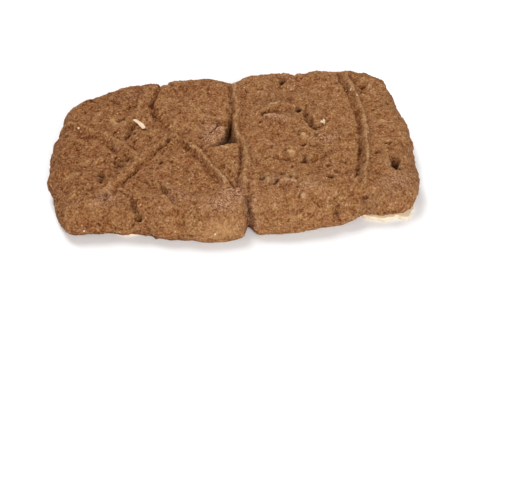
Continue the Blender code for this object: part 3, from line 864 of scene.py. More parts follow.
@dataclass(frozen=True)
class DoughFinish:
    """Baked spiced dough: matte brown crumb, with painted shade in its hollows and painted light, in tan,
    on its ridges.
    """

    name: str = "baked_speculaas_dough"
    tones: tuple[tuple[float, Colour], ...] = (
        (0.00, (0.060, 0.017, 0.004)),
        (0.20, (0.160, 0.050, 0.012)),
        (0.40, (0.226, 0.091, 0.031)),
        (0.50, (0.265, 0.116, 0.042)),
        (0.60, (0.304, 0.143, 0.055)),
        (0.80, (0.371, 0.195, 0.084)),
        (1.00, (0.498, 0.297, 0.160)),
    )
    red: Colour = (0.205, 0.070, 0.030)
    golden: Colour = (0.620, 0.360, 0.160)
    dust: Colour = (0.600, 0.365, 0.235)
    # Painted shade, laid on by the dark tint.
    shadow: Colour = (0.100, 0.045, 0.022)
    pore_shade_and_spice: Colour = (0.080, 0.034, 0.016)
    sugar: Colour = (0.600, 0.430, 0.300)
    grain: Noise = (0.42, 3.0, 0.7, 0.0)
    mottle: Noise = (1.3, 3.0, 0.6, 0.31)
    patches: Noise = (7.0, 2.0, 0.5, 0.57)
    crumbs: Noise = (0.22, 2.0, 0.6, 0.41)
    # Size and shift of the crumb's cells.
    crumb_cells: Corner = (0.30, 0.7)
    # How much each of them, and each number on the vertices, moves the tone.
    grain_weight: float = 1.98
    crumb_weight: float = 0.34
    mottle_weight: float = 0.78
    patches_weight: float = 0.25
    # The two hollow numbers paint shade into the hollows and light onto the ridges.
    vertex_weights: tuple[tuple[str, float], ...] = (
        ("darker_left_back", -0.12), (Tint.DUST.value, -0.20), ("painted_shading_fine", -0.62), ("painted_shading_broad", -0.22),
        ("underside", -0.10),
    )
    # A pinkish, a yellowish, a reddish and a greyish cast.
    casts: tuple[Cast, ...] = (
        Cast((1.1, 2.0, 0.6, 0.23), 0.44, 0.66, 0.30, (1.00, 0.95, 1.12)),
        Cast((1.4, 2.0, 0.6, 0.63), 0.50, 0.66, 0.45, (1.00, 1.01, 0.72)),
        Cast((2.6, 2.0, 0.5, 0.83), 0.50, 0.72, 0.45, (0.86, 0.66, 0.62)),
        Cast((3.6, 2.0, 0.5, 0.13), 0.52, 0.74, 0.12, (0.330, 0.185, 0.105), "MIX"),
    )
    # What breaks the tints up: a noise and the values between which it sets in.
    tint_break: tuple[Noise, float, float] = ((0.5, 3.0, 0.7, 0.77), 0.42, 0.62)
    dust_break: tuple[Noise, float, float] = ((0.35, 3.0, 0.7, 0.37), 0.49, 0.59)
    grains: tuple[Grains, ...] = (
        # Dark points: spice specks, and painted shade where pores would be.
        Grains(0.95, 0.2, 0.80, 0.30, 0.16, pore_shade_and_spice),
        Grains(0.55, 0.5, 0.86, 0.34, 0.20, golden),
        Grains(0.75, 0.9, 0.93, 0.24, 0.12, sugar),
    )
    grains_share: float = 0.8
    roughness: float = 1.02
    roughness_of_grain: float = -0.5
    specular: float = 0.12

    def material(self) -> bpy.types.Material:
        """Makes the material."""
        tree = NodeTree(bpy.data.materials.new(self.name))
        grain = tree.noise(*self.grain)
        colour = tree.colours(self._tone(tree, grain), self.tones)
        for cast in self.casts:
            there = tree.between(tree.noise(*cast.noise), cast.low, cast.high)
            colour = tree.mix(tree.math("MULTIPLY", there, cast.share), colour, cast.colour, cast.blend)
        colour = self._tinted(tree, colour)
        for grains in self.grains:
            distance, random = tree.cells(grains.size, grains.offset)
            chosen = tree.math("GREATER_THAN", random, grains.rarity)
            there = tree.math("MULTIPLY", tree.between(distance, grains.rim, grains.full), chosen)
            colour = tree.mix(tree.math("MULTIPLY", there, self.grains_share), colour, grains.colour)
        tree.feed(tree.shader.inputs["Base Color"], colour)
        roughness = tree.weigh(grain, self.roughness_of_grain, self.roughness)
        tree.feed(tree.shader.inputs["Roughness"], roughness)
        tree.feed(tree.shader.inputs["Specular IOR Level"], self.specular)
        normal = tree.bump(tree.noise(*self.crumbs), strength=0.8, distance_mm=0.12)
        normal = tree.bump(grain, strength=1.0, distance_mm=0.25, normal=normal)
        tree.feed(tree.shader.inputs["Normal"], normal)
        return tree.material

    def _tone(self, tree: NodeTree, grain: Socket) -> Socket:
        """Gives the crust's tone: 0 for the darkest and 1 for the palest dough."""
        _, crumb = tree.cells(*self.crumb_cells)
        layers = (
            (grain, self.grain_weight),
            (crumb, self.crumb_weight),
            (tree.noise(*self.mottle), self.mottle_weight),
            (tree.noise(*self.patches), self.patches_weight),
        )
        tone = 0.5 - 0.5 * sum(weight for _, weight in layers)
        for layer, weight in layers:
            tone = tree.weigh(layer, weight, tone)
        for name, weight in self.vertex_weights:
            tone = tree.weigh(tree.attribute(name), weight, tone)
        return tone

    def _tinted(self, tree: NodeTree, colour: Socket) -> Socket:
        """Lays the tints on, the dark one painted shade: each has a strength, and an even share that isn't
        broken up.
        """
        breaks = (self.tint_break, self.dust_break)
        grains, specks = (tree.between(tree.noise(*broken), low, high) for broken, low, high in breaks)
        layers = (
            # The dark tint is painted shade.
            (Tint.DARK, self.shadow, 0.8, 0.6, grains),
            (Tint.RED, self.red, 0.75, 0.4, grains),
            (Tint.GOLDEN, self.golden, 0.9, 0.5, grains),
            (Tint.DUST, self.dust, 1.0, 0.06, specks),
        )
        for tint, tint_colour, strength, even, broken in layers:
            there = tree.weigh(broken, strength * (1 - even), strength * even)
            there = tree.math("MULTIPLY", tree.attribute(tint.value), there)
            colour = tree.mix(there, colour, tint_colour)
        return colour


@dataclass(frozen=True)
class AlmondFinish:
    """Sliced almond: cream flesh, faintly streaked, toasted towards its rim."""

    name: str = "sliced_almond_flesh"
    flesh: Colour = (0.800, 0.655, 0.475)
    streak: Colour = (0.750, 0.585, 0.390)
    toasted: Colour = (0.640, 0.410, 0.190)
    # Noises, each with the values between which it sets in.
    streaks: Noise = (0.5, 3.0, 0.6, 0.0)
    streaks_at: Corner = (0.42, 0.70)
    streak_share: float = 0.35
    toasting: Noise = (1.7, 2.0, 0.5, 0.3)
    toasting_at: Corner = (0.35, 0.70)
    toast_share: float = 0.2
    fibre: Noise = (0.25, 2.0, 0.5, 0.7)
    roughness: float = 0.5
    specular: float = 0.4

    def material(self) -> bpy.types.Material:
        """Makes the material."""
        tree = NodeTree(bpy.data.materials.new(self.name))
        streaks = tree.between(tree.noise(*self.streaks), *self.streaks_at)
        colour = tree.mix(tree.math("MULTIPLY", streaks, self.streak_share), self.flesh, self.streak)
        toast = tree.between(tree.noise(*self.toasting), *self.toasting_at)
        toast = tree.math("MULTIPLY", tree.attribute("toasted"), toast)
        colour = tree.mix(tree.math("MULTIPLY", toast, self.toast_share), colour, self.toasted)
        tree.feed(tree.shader.inputs["Base Color"], colour)
        tree.feed(tree.shader.inputs["Roughness"], self.roughness)
        tree.feed(tree.shader.inputs["Specular IOR Level"], self.specular)
        normal = tree.bump(tree.noise(*self.fibre), strength=0.3, distance_mm=0.04)
        tree.feed(tree.shader.inputs["Normal"], normal)
        return tree.material


# Flesh of the almond that lies open on the crust: painted a little less pale than the slices, to offset the
# stronger light that falls on it.
FLESH_DIMMED_FOR_LIGHT = {"flesh": (0.710, 0.540, 0.375), "streak": (0.670, 0.495, 0.320)}


# ---------------------------------------------------------------- pieces


@dataclass(frozen=True)
class SliceShape:
    """One almond slice's place and outline."""

    x: float
    y: float
    length: float
    width: float
    turn: float
    # How much narrower it gets towards its tip.
    point: float
    # Bites and bumps of its edge: direction, reach and half width.
    breaks: tuple[tuple[float, float, float], ...] = ()
    roundness: float = 2.5

    def outline(self, corners: int, grow: float = 0.0) -> tuple[Places, Places]:
        """Draws the outline.

        Args:
            corners: how many corners it gets.
            grow: how far it is drawn outside the slice.

        Returns:
            x and y of the corners, in the piece's own frame.
        """
        angle = np.arange(corners) * math.tau / corners
        radius = rounded_box(angle, self.length, self.width, self.roundness) + grow
        for at, reach, half_width in self.breaks:
            away = (np.degrees(angle) - at + 180) % 360 - 180
            radius = radius + reach * np.exp(-(away / half_width) ** 2)
        along = radius * np.cos(angle)
        across = radius * np.sin(angle) * (1 - self.point * along / (self.length / 2))
        x, y = turned(along, across, self.turn)
        return to_frame(self.x + x, self.y + y)


SLICE_SHAPES = (
    SliceShape(28.6, -17.3, 11.8, 8.0, 0.0, 0.0,
               ((254, 0.3, 11), (294, -0.5, 7), (309, 0.9, 11), (350, -0.3, 12))),
    SliceShape(-20.6, -15.65, 11.0, 7.6, 357.0, 0.1, ((245, 0.2, 14), (300, -0.2, 10))),
    SliceShape(-31.2, 6.2, 14.5, 8.0, 114.0, 0.25),
    SliceShape(-7.5, 21.0, 13.5, 7.8, 15.0, 0.3, ((200, -0.6, 15),)),
    SliceShape(-8.0, -6.5, 15.0, 8.4, 38.0, 0.3),
    SliceShape(10.5, 7.0, 14.5, 8.2, 152.0, 0.28, ((80, -0.5, 14),)),
    SliceShape(33.6, 9.0, 13.8, 7.6, 64.0, 0.25),
    SliceShape(11.0, -14.2, 13.0, 7.4, 8.0, 0.3),
)


@dataclass
class AlmondSlices:
    """The almond slices that the biscuit was baked on."""

    thickness: float = 0.9
    corners: int = 96
    bevel: float = 0.16
    bevel_steps: int = 3
    clearance: float = 0.06
    # The pockets' cutters reach this far below the slices.
    cutter_reach: float = 1.0
    # Depth and size of the chips in their edges, which leave their middles whole.
    chips: Corner = (0.10, 0.9)
    whole_middle: float = 2.0
    chip_seed: float = 3.1
    # From which share of its reach a slice is toasted, and over what share that grows.
    toasted_from: float = 0.55
    toasted_over: float = 0.4
    crease: float = 35.0

    def build(self, finish: AlmondFinish) -> list[Piece]:
        """Makes every slice and dresses it.

        Args:
            finish: the almond's finish.

        Returns:
            The slices.
        """
        material = finish.material()
        return [self._slice(number, shape, material) for number, shape in enumerate(SLICE_SHAPES, start=1)]

    def pockets(self) -> Piece:
        """Makes the solid that the slices' pockets are cut with."""
        top = self.thickness + self.clearance
        cutters = []
        for number, shape in enumerate(SLICE_SHAPES, start=1):
            outline = shape.outline(self.corners, self.clearance)
            cutters.append(prism(f"pocket_{number}", outline, -self.cutter_reach, top))
        make_active(cutters[0])
        for cutter in cutters:
            cutter.select_set(True)
        bpy.ops.object.join()
        return bpy.context.object

    def _slice(self, number: int, shape: SliceShape, material: bpy.types.Material) -> Piece:
        """Makes one slice: a plate with eased and chipped edges, toasted at its rim."""
        piece = prism(f"sliced_almond_{number}", shape.outline(self.corners), 0.0, self.thickness)
        bpy.ops.object.mode_set(mode="EDIT")
        bpy.ops.mesh.select_all(action="SELECT")
        bpy.ops.mesh.bevel(offset=self.bevel * MM, segments=self.bevel_steps, affect="EDGES")
        bpy.ops.mesh.select_all(action="SELECT")
        bpy.ops.mesh.quads_convert_to_tris(quad_method="BEAUTY", ngon_method="BEAUTY")
        bpy.ops.object.mode_set(mode="OBJECT")
        co = places_of(piece)
        centre = np.array([*to_frame(shape.x, shape.y), 0.0]) * MM
        away = co - centre
        reach = np.hypot(away[:, 0], away[:, 1])
        height, size = self.chips
        chip = height * smooth_noise(*(co / MM).T, size, self.chip_seed * number)
        chip = chip * (reach > self.whole_middle * MM)
        co[:, :2] += away[:, :2] / np.maximum(reach, TINY)[:, None] * chip[:, None] * MM
        set_places(piece, co)
        store(piece, "toasted", ramp((reach / reach.max() - self.toasted_from) / self.toasted_over))
        bpy.ops.object.shade_smooth_by_angle(angle=math.radians(self.crease))
        settle(piece, material, f"almond_slice_{number}")
        return piece


@dataclass
class Shaving:
    """The curved shaving of almond that stuck to the back left sail."""

    x: float = -18.85
    y: float = 6.05
    length: float = 3.7
    width: float = 1.05
    bulge: float = 0.3
    thickness: float = 0.5
    curl: float = 0.22
    sunk: float = 0.06
    turn: float = -58.0
    # How much its ends taper and thin out, and how much wider one of them is.
    taper: float = 0.2
    thinning: float = 0.4
    flare: float = 0.1
    # How much its sides wave, and how fast.
    wave: Corner = (0.06, 5.0)
    tilt: float = 0.12
    roughness: Corner = (0.05, 0.6)
    seed: float = 5.0
    cells: tuple[int, int] = (12, 3)
    rounding: int = 2

    def build(self, mould: Mould, finish: AlmondFinish) -> Piece:
        """Makes the shaving and dresses it.

        Args:
            mould: tells how high the dough is where the shaving lies.
            finish: the almond's finish.

        Returns:
            The shaving.
        """
        piece = slab("almond_shaving", *self.cells)
        u, v, w = places_of(piece).T
        wave, pace = self.wave
        half = self.width / 2 * (1 - self.taper * np.abs(u) ** 6 + self.flare * u)
        half = half * (1 + wave * np.sin(pace * u))
        x, y = turned(u * self.length / 2, self.bulge * (1 - u ** 2) + v * half, self.turn)
        x, y = self.x + x, self.y + y
        base = mould.thickness + float(np.median(mould.relief(x, y))) - self.sunk
        z = base + self.curl * u ** 2 - self.tilt * v + w * self.thickness * (1 - self.thinning * u ** 4)
        set_places(piece, np.stack([*to_frame(x, y), z], 1) * MM)
        apply_modifier(piece, "SUBSURF", "rounding", levels=self.rounding)
        co = places_of(piece)
        height, size = self.roughness
        rough = height * smooth_noise(*(co / MM).T, size, self.seed)
        set_places(piece, co + normals_of(piece) * rough[:, None] * MM)
        store(piece, "toasted", np.zeros(len(co)))
        shade_round(piece)
        settle(piece, finish.material(), CRUST_NODE)
        return piece


@dataclass(frozen=True)
class Fleck:
    """The place, size and turn of a crumb of almond on the crust."""

    x: float
    y: float
    z: float
    length: float
    width: float
    turn: float = 0.0


FLECKS = tuple(Fleck(*row) for row in (
    (19.4, 2.9, 7.0, 1.05, 0.55, 55), (19.0, 2.6, 7.0, 0.6, 0.4, -40), (-30.8, 6.5, 7.0, 0.5, 0.4, 20),
    (-30.5, -19.0, 2.1, 0.4, 0.35), (-5.8, -24.0, 2.8, 0.5, 0.35, 30), (27.7, 9.7, 7.9, 0.45, 0.3, 10),
    (27.6, -2.6, 7.7, 0.35, 0.3), (14.5, 14.7, 6.9, 0.32, 0.26), (4.5, 16.3, 7.1, 0.36, 0.28),
    (27.4, 12.4, 7.7, 0.7, 0.2, 100), (-8.3, -2.8, 7.2, 0.34, 0.24, 60),
))


@dataclass
class Crumbs:
    """The crumbs of almond that stick to the crust."""

    rise: float = 0.05
    # A crumb's thickness over its width, and the thickest that one gets.
    flatness: float = 0.4
    thickest: float = 0.16
    # How rough they are in shares of their size, and over what share.
    roughness: Corner = (0.45, 0.9)
    seed: float = 2.7

    def build(self, dough: Piece, finish: AlmondFinish) -> list[Piece]:
        """Makes every crumb, pressed into the dough.

        Args:
            dough: the finished dough.
            finish: the almond's finish.

        Returns:
            The crumbs.
        """
        material = finish.material()
        co = places_of(dough)
        normals = normals_of(dough)
        pieces = []
        for number, fleck in enumerate(FLECKS, start=1):
            target = np.array([*to_frame(fleck.x, fleck.y), fleck.z]) * MM
            nearest = int(np.argmin(np.linalg.norm(co - target, axis=1)))
            piece = self._crumb(number, fleck, Vector(co[nearest]), Vector(normals[nearest]))
            settle(piece, material, CRUST_NODE)
            pieces.append(piece)
        return pieces

    def _crumb(self, number: int, fleck: Fleck, place: Vector, facing: Vector) -> Piece:
        """Makes one crumb: a rough chip that lies on the dough."""
        deselect()
        bpy.ops.mesh.primitive_ico_sphere_add(subdivisions=3, radius=1.0)
        piece = bpy.context.object
        piece.name = piece.data.name = f"almond_crumb_{number}"
        co = places_of(piece)
        height, size = self.roughness
        co = co * (1 + height * smooth_noise(*co.T, size, self.seed * number))[:, None]
        thick = min(fleck.width * self.flatness, self.thickest)
        co = co * np.array([fleck.length / 2, fleck.width / 2, thick])
        lie = facing.to_track_quat("Z", "Y").to_matrix() @ Matrix.Rotation(math.radians(fleck.turn), 3, "Z")
        set_places(piece, co @ np.array(lie).T * MM + np.array(place + facing * self.rise * MM))
        store(piece, "toasted", np.zeros(len(co)))
        shade_round(piece)
        return piece


# Where the crust differs in colour: each spot's rise is the tint's strength. The dark spots are painted
# shade, mostly in dents, pits, the deep corner by the cap and on the front walls turned from the light.
TINTS = {
    Tint.DARK: spots(
        (0.95, -0.9, -0.9, 1.9, 1.7, 0, 2.0), (0.9, -0.5, 2.2, 3.4, 0.8, 80, 2.0),
        (0.45, -22.9, -5.0, 1.9, 1.4, 80), (0.5, -20.8, 4.0, 2.4, 0.9, 70),
        (1.0, -20.05, -19.4, 0.65, 0.55, 0, 2.0), (0.5, -20.7, -17.6, 1.3, 0.6, 80),
        (0.6, -26.8, -9.4, 1.3, 1.0, 90), (0.8, 17.7, -21.8, 0.5, 0.35), (0.7, 21.3, -21.4, 0.5, 0.35),
        (0.5, 17.6, -21.1, 1.0, 0.35), (0.7, 23.6, -19.5, 0.35, 0.35), (0.65, 14.7, 7.9, 1.0, 0.6, 90, 2.6),
        (0.5, 17.0, 2.9, 1.3, 0.7, 100, 2.0), (0.28, 29.5, -18.0, 4.0, 2.4, 12),
        (0.24, 35.0, -12.0, 1.8, 5.0, 0), (0.22, 18.0, -23.6, 4.5, 1.2, 5),
        (0.45, 10.0, 12.0, 4.0, 2.0, 10), (0.32, 13.6, 6.9, 2.6, 2.0, 0), (0.42, 30.9, -12.2, 2.4, 1.7, 92),
        (0.35, 24.2, -20.6, 2.6, 1.2, 5),
    ),
    Tint.RED: spots(
        (0.9, -9.2, 2.6, 1.3, 1.0, 0), (0.7, -7.2, 1.6, 1.4, 0.9, 0), (0.6, 13.8, 12.6, 2.6, 1.2, 95),
        (0.5, 18.5, 6.4, 2.0, 1.6, 90), (0.8, 28.8, -8.2, 1.2, 0.9, 60), (0.4, -19.0, -20.0, 2.0, 1.6, 0),
        (0.4, -30.0, -20.5, 3.0, 2.0, 0),
    ),
    Tint.GOLDEN: spots(
        (0.9, -23.9, 7.3, 1.8, 0.8, 100), (1.0, 11.1, -6.9, 1.15, 0.9, 0, 2.0),
        (0.8, 14.7, -2.0, 0.9, 0.6, 90), (0.5, -5.0, -23.6, 3.0, 1.2, 0), (0.35, -33.1, -8.3, 1.3, 0.9),
        (0.35, -29.7, -4.1, 1.4, 0.8, 20), (0.35, -27.0, 11.1, 0.9, 0.8), (0.3, -25.9, -13.3, 1.2, 0.9),
        (0.3, -28.3, -16.8, 1.2, 0.9), (0.5, 11.5, -20.1, 0.6, 0.6), (0.6, 31.4, 1.1, 0.9, 0.7, 0),
        (0.6, 30.7, 16.7, 1.1, 0.8, 60),
    ),
    Tint.DUST: spots(
        (0.78, -3.7, 2.4, 2.7, 3.4, 0, 2.2), (0.8, 9.8, 4.9, 3.0, 1.1, -8),
        (0.85, -1.6, -17.0, 2.6, 2.6, 60), (0.75, -4.0, -19.6, 3.4, 1.8, 0),
        (0.5, -25.5, -15.5, 3.4, 1.8, 0), (0.4, -12.0, -17.0, 4.0, 2.0, 0), (0.3, 12.0, -17.0, 4.0, 1.6, 0),
        (0.25, -20.5, 16.8, 2.4, 1.6, 0), (0.7, 18.6, -2.9, 3.4, 0.7, -3), (0.5, 30.5, -17.0, 3.4, 2.0, 10),
        (0.5, 7.5, -14.8, 4.2, 1.2, -8), (0.4, 1.2, -20.0, 2.0, 4.0, 0),
    ),
}
# Where broken crumb lies on the crust, in small and crowded lumps: how many, and the place.
RUBBLE = (
    (150, Spot(1.0, -4.0, 2.4, 2.8, 3.2, 0, 2.2)), (22, Spot(1.0, 9.8, 4.9, 2.8, 1.0, -8)),
    (14, Spot(1.0, 18.6, -2.9, 3.4, 0.6, -3)), (22, Spot(1.0, 7.5, -14.8, 4.0, 1.1, -8)),
    (16, Spot(1.0, -9.6, -0.6, 1.6, 0.8, -50)), (20, Spot(1.0, -3.0, -19.5, 4.0, 2.6, 0)),
    (10, Spot(1.0, -26.0, -6.5, 2.4, 1.6, 40)), (8, Spot(1.0, 11.1, -6.9, 0.8, 0.6, 0)),
    (26, Spot(1.0, -22.0, -13.5, 4.5, 3.0, 0)), (26, Spot(1.0, -31.0, -6.0, 3.0, 7.0, 0)),
    (16, Spot(1.0, 18.0, 6.0, 3.0, 2.0, 85)), (14, Spot(1.0, 9.5, 9.2, 3.4, 0.9, 25)),
)


@dataclass(frozen=True)
class Marks:
    """Small marks strewn over the crust, with the ranges of their sizes and heights."""

    count: int
    size: Corner
    height: Corner
    # 1 for lumps and -1 for pits.
    sign: float = 1.0


@dataclass
class Biscuit:
    """The biscuit's dough, from the blank slab to its crumb and colours."""

    mould: Mould
    cell: float = 0.5
    wall_rows: int = 4
    # The underside's share of the crumb; it faces down more than this, and lies lower than this.
    floor_crumb: float = 0.12
    floor_facing: float = -0.7
    floor_height: float = 1.5
    # Kind, height and size of each texture that roughens the dough.
    grains: tuple[tuple[str, float, float], ...] = (
        ("CLOUDS", 0.5, 2.3), ("CLOUDS", 0.45, 1.1), ("VORONOI", -0.25, 0.7),
    )
    pores: Marks = Marks(420, (0.22, 0.5), (0.15, 0.5), -1.0)
    lumps: Marks = Marks(260, (0.4, 0.9), (0.06, 0.2))
    wall_lumps: Marks = Marks(130, (0.4, 0.9), (0.1, 0.3))
    wall_pits: Marks = Marks(90, (0.4, 0.9), (0.1, 0.3), -1.0)
    # Walls face up or down less than this.
    wall_facing: float = 0.6
    rubble_size: Corner = (0.24, 0.5)
    rubble_height: Corner = (0.1, 0.3)
    # Rubble lies where its spot's share is above this, on what faces up more than this.
    rubble_share: float = 0.4
    rubble_facing: float = 0.2
    # Marks are squeezed to between these shares, and end at this many times their size.
    squeeze: Corner = (0.6, 1.0)
    mark_end: float = 2.2
    # What stands above this height is pressed down to this share.
    tallest: float = 8.0
    flattened: float = 0.3
    seed: int = 11
    # Attributes that paint shade into the hollows and light onto the ridges, with how many rounds of
    # smoothing the hollows are measured against.
    hollows: tuple[tuple[str, int], ...] = (("painted_shading_fine", 6), ("painted_shading_broad", 60))
    hollow_range: Corner = (-0.6, 1.2)
    # The underside's colour fades between these heights, on what faces down at least this far.
    underside_height: Corner = (0.2, 1.0)
    underside_facing: float = -0.3
    # The crust is darker towards the left and the back: where that starts, and over how far it grows.
    darker_left: Corner = (4.0, 36.0)
    darker_back: Corner = (12.0, 12.0)
    darker_back_share: float = 0.5

    def build(self, finish: DoughFinish, pockets: Piece) -> Piece:
        """Makes the dough and dresses it.

        Args:
            finish: the crust's finish.
            pockets: the solid that the slices' pockets are cut with; it is used up.

        Returns:
            The finished dough.
        """
        dough = self._blank()
        set_places(dough, self.mould.press(places_of(dough)) * MM)
        co = places_of(dough)
        co[:, :2] -= np.array(BOX_MIDDLE) * MM
        set_places(dough, co)
        self._roughen(dough)
        apply_modifier(dough, "BOOLEAN", "pockets", operation="DIFFERENCE", solver="MANIFOLD",
                       object=pockets)
        bpy.data.objects.remove(pockets)
        self._map_colours(dough)
        shade_round(dough)
        settle(dough, finish.material(), CRUST_NODE)
        return dough

    def _blank(self) -> Piece:
        """Makes a flat slab whose top and sides are twice as fine as its underside."""
        sides = (self.mould.length, self.mould.width)
        dough = slab("speculaas_dough", *(round(side / self.cell) for side in sides))
        self._pick("EDGE")
        height = places_of(dough)[:, 2]
        for edge in dough.data.edges:
            a, b = edge.vertices
            edge.select = bool(abs(height[a] - height[b]) > 0.5)
        bpy.ops.object.mode_set(mode="EDIT")
        bpy.ops.mesh.subdivide(number_cuts=self.wall_rows - 1)
        self._pick("FACE")
        for face in dough.data.polygons:
            face.select = face.center.z > TINY
        bpy.ops.object.mode_set(mode="EDIT")
        bpy.ops.mesh.subdivide(number_cuts=1)
        bpy.ops.object.mode_set(mode="OBJECT")
        return dough

    @staticmethod
    def _pick(kind: str) -> None:
        """Leaves nothing selected on the active piece, ready to pick edges or faces in object mode."""
        bpy.ops.object.mode_set(mode="EDIT")
        bpy.ops.mesh.select_all(action="DESELECT")
        bpy.ops.mesh.select_mode(type=kind)
        bpy.ops.object.mode_set(mode="OBJECT")

    def _roughen(self, dough: Piece) -> None:
        """Gives the pressed dough its crumb: grain, lumps and pores, hardly any on the underside."""
        group = dough.vertex_groups.new(name="crumbly")
        facing = normals_of(dough)[:, 2]
        low = places_of(dough)[:, 2] < self.floor_height * MM
        crumbly = np.where((facing < self.floor_facing) & low, self.floor_crumb, 1.0)
        for weight in (self.floor_crumb, 1.0):
            group.add([int(i) for i in np.flatnonzero(crumbly == weight)], weight, "REPLACE")
        for number, (kind, height, size) in enumerate(self.grains):
            texture = bpy.data.textures.new(f"grain_{number}", kind)
            texture.noise_scale = size * MM
            apply_modifier(dough, "DISPLACE", f"grain_{number}", texture=texture, vertex_group="crumbly",
                           texture_coords="LOCAL", mid_level=0.5, strength=height * MM)
        self._scatter(dough, crumbly)

    def _scatter(self, dough: Piece, crumbly: Places) -> None:
        """Presses pores into the crust and raises lumps and rubble on it.

        Args:
            dough: the dough, with its grain.
            crumbly: each vertex's share of the crumb.
        """
        random = np.random.default_rng(self.seed)
        co = places_of(dough)
        normals = normals_of(dough)
        moved = np.zeros(len(co))
        for picked, marks in self._picks(random, co, normals, crumbly):
            for index in picked:
                size = random.uniform(*marks.size) * MM
                height = random.uniform(*marks.height) * MM
                squeeze = random.uniform(*self.squeeze, 3)
                away = np.linalg.norm((co - co[index]) / squeeze, axis=1) / size
                near = away < self.mark_end
                moved[near] += marks.sign * height * np.exp(-away[near] ** 2)
        for x, y, z, size, rise in WALL_MARKS:
            place = np.array([*to_frame(x, y), z]) * MM
            away = np.linalg.norm(co - place, axis=1) / (size * MM)
            moved += rise * MM * np.exp(-away ** 2)
        co = co + normals * (moved * crumbly)[:, None]
        tall = self.tallest * MM
        pressed = tall + self.flattened * (co[:, 2] - tall)
        co[:, 2] = np.where(co[:, 2] > tall, pressed, np.maximum(co[:, 2], 0))
        set_places(dough, co)

    def _picks(self, random: np.random.Generator, co: Places, normals: Places,
               crumbly: Places) -> list[tuple[Places, Marks]]:
        """Picks the vertices where pores, lumps and rubble are centred.

        Args:
            random: where the choice comes from.
            co: the dough's places.
            normals: where they face.
            crumbly: their share of the crumb.

        Returns:
            The vertices of each kind of mark.
        """
        crust = crumbly > self.floor_crumb
        everywhere = np.flatnonzero(crust)
        wanted = [(everywhere, self.pores), (everywhere, self.lumps)]
        x, y = to_drawing(co)
        for count, area in RUBBLE:
            inside = (area.share(x, y) > self.rubble_share) & (normals[:, 2] > self.rubble_facing)
            wanted.append((np.flatnonzero(inside), Marks(count, self.rubble_size, self.rubble_height)))
        walls = np.flatnonzero(crust & (np.abs(normals[:, 2]) < self.wall_facing))
        wanted += [(walls, self.wall_lumps), (walls, self.wall_pits)]
        return [(random.choice(places, marks.count, replace=False), marks) for places, marks in wanted]

    def _map_colours(self, dough: Piece) -> None:
        """Stores how hollow each place is, which the material paints as shade in hollows and light on
        ridges, and which tints it has, for the material to read.
        """
        co = places_of(dough)
        normals = normals_of(dough)
        height = co[:, 2] / MM
        for name, rounds in self.hollows:
            hollow = np.einsum("ij,ij->i", smoothed(dough, rounds) - co, normals) / MM
            store(dough, name, np.clip(hollow, *self.hollow_range))
        low, high = self.underside_height
        under = ramp((high - height) / (high - low)) * (normals[:, 2] < self.underside_facing)
        store(dough, "underside", under)
        x, y = to_drawing(co)
        # Darker towards the left and the back.
        (left, left_reach), (back, back_reach) = self.darker_left, self.darker_back
        darker_left_back = ramp((left - x) / left_reach) + self.darker_back_share * ramp((y - back) / back_reach)
        store(dough, "darker_left_back", darker_left_back)
        x, y = self.mould.wandered(x, y, self.mould.spot_wander)
        upper = ramp(height - 1.0)
        for tint, marks in TINTS.items():
            share = np.zeros(len(co))
            for spot in marks:
                share = np.maximum(share, spot.rise * spot.share(x, y))
            store(dough, tint.value, share * upper)


@dataclass(frozen=True)
class Softbox:
    """A square soft light: its place and side in metres, and its power in watts."""

    name: str
    place: tuple[float, float, float]
    size: float
    power: float


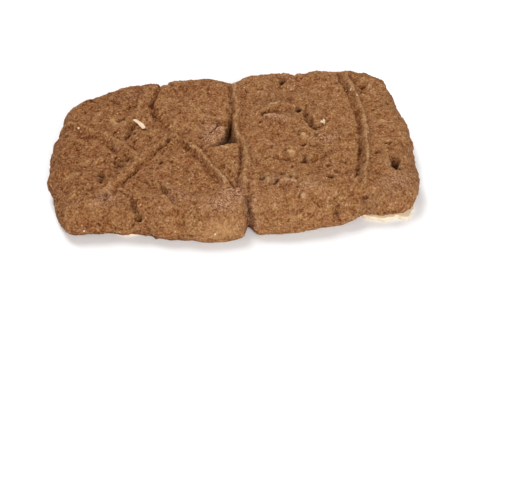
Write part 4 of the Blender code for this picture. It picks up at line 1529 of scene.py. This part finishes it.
@dataclass
class Studio:
    """Pale floor, soft lights and the camera."""

    camera_place: tuple[float, float, float] = (-13.302, -146.46, 121.133)
    right: tuple[float, float, float] = (0.99254615, -0.12186934, 0.0)
    up: tuple[float, float, float] = (0.08617464, 0.70183611, 0.70710678)
    lens: float = 63.53
    sensor: float = 36.0
    clip_start: float = 0.005
    floor_size: float = 6.0
    floor_colour: Colour = (0.93, 0.93, 0.93)
    floor_roughness: float = 0.9
    air_strength: float = 0.34
    softboxes: tuple[Softbox, ...] = (
        Softbox("key_softbox", (-0.16, 0.35, 0.50), 0.32, 3.4),
        Softbox("front_softbox", (0.14, -0.56, 0.30), 0.30, 3.6),
    )

    def build(self) -> None:
        """Sets everything round the biscuit up."""
        self._camera()
        self._floor()
        for softbox in self.softboxes:
            self._light(softbox)
        world = bpy.data.worlds.new("studio_air")
        world.use_nodes = True
        world.node_tree.nodes["Background"].inputs["Color"].default_value = (1.0, 1.0, 1.0, 1.0)
        world.node_tree.nodes["Background"].inputs["Strength"].default_value = self.air_strength
        bpy.context.scene.world = world
        bpy.context.scene.view_settings.view_transform = "Standard"
        bpy.context.scene.view_settings.look = "None"

    def _camera(self) -> None:
        """Places the camera."""
        back = Vector(self.right).cross(Vector(self.up))
        matrix = Matrix((self.right, self.up, back)).transposed().to_4x4()
        matrix.translation = Vector(self.camera_place) * MM
        lens = bpy.data.cameras.new("camera")
        lens.lens = self.lens
        lens.sensor_width = self.sensor
        lens.clip_start = self.clip_start
        camera = bpy.data.objects.new("camera", lens)
        camera.matrix_world = matrix
        bpy.context.scene.collection.objects.link(camera)
        bpy.context.scene.camera = camera

    def _floor(self) -> None:
        """Lays the pale floor."""
        deselect()
        bpy.ops.mesh.primitive_plane_add(size=self.floor_size)
        floor = bpy.context.object
        floor.name = floor.data.name = "studio_floor"
        material = bpy.data.materials.new("studio_paper")
        material.use_nodes = True
        shader = material.node_tree.nodes["Principled BSDF"]
        shader.inputs["Base Color"].default_value = (*self.floor_colour, 1.0)
        shader.inputs["Roughness"].default_value = self.floor_roughness
        floor.data.materials.append(material)

    @staticmethod
    def _light(softbox: Softbox) -> None:
        """Hangs a softbox that faces the biscuit."""
        light = bpy.data.lights.new(softbox.name, "AREA")
        light.energy = softbox.power
        light.size = softbox.size
        lamp = bpy.data.objects.new(softbox.name, light)
        lamp.location = softbox.place
        lamp.rotation_euler = Vector(softbox.place).to_track_quat("Z", "Y").to_euler()
        bpy.context.scene.collection.objects.link(lamp)


def main() -> None:
    """Builds the finished biscuit and its studio."""
    logging.basicConfig(level=logging.INFO, format="%(name)s: %(message)s")
    Studio().build()
    slices = AlmondSlices()
    mould = Mould()
    dough = Biscuit(mould).build(DoughFinish(), slices.pockets())
    slices.build(AlmondFinish())
    Shaving().build(mould, AlmondFinish("almond_shaving", **FLESH_DIMMED_FOR_LIGHT))
    Crumbs().build(dough, AlmondFinish("almond_crumb", **FLESH_DIMMED_FOR_LIGHT))


if __name__ == "__main__":
    main()
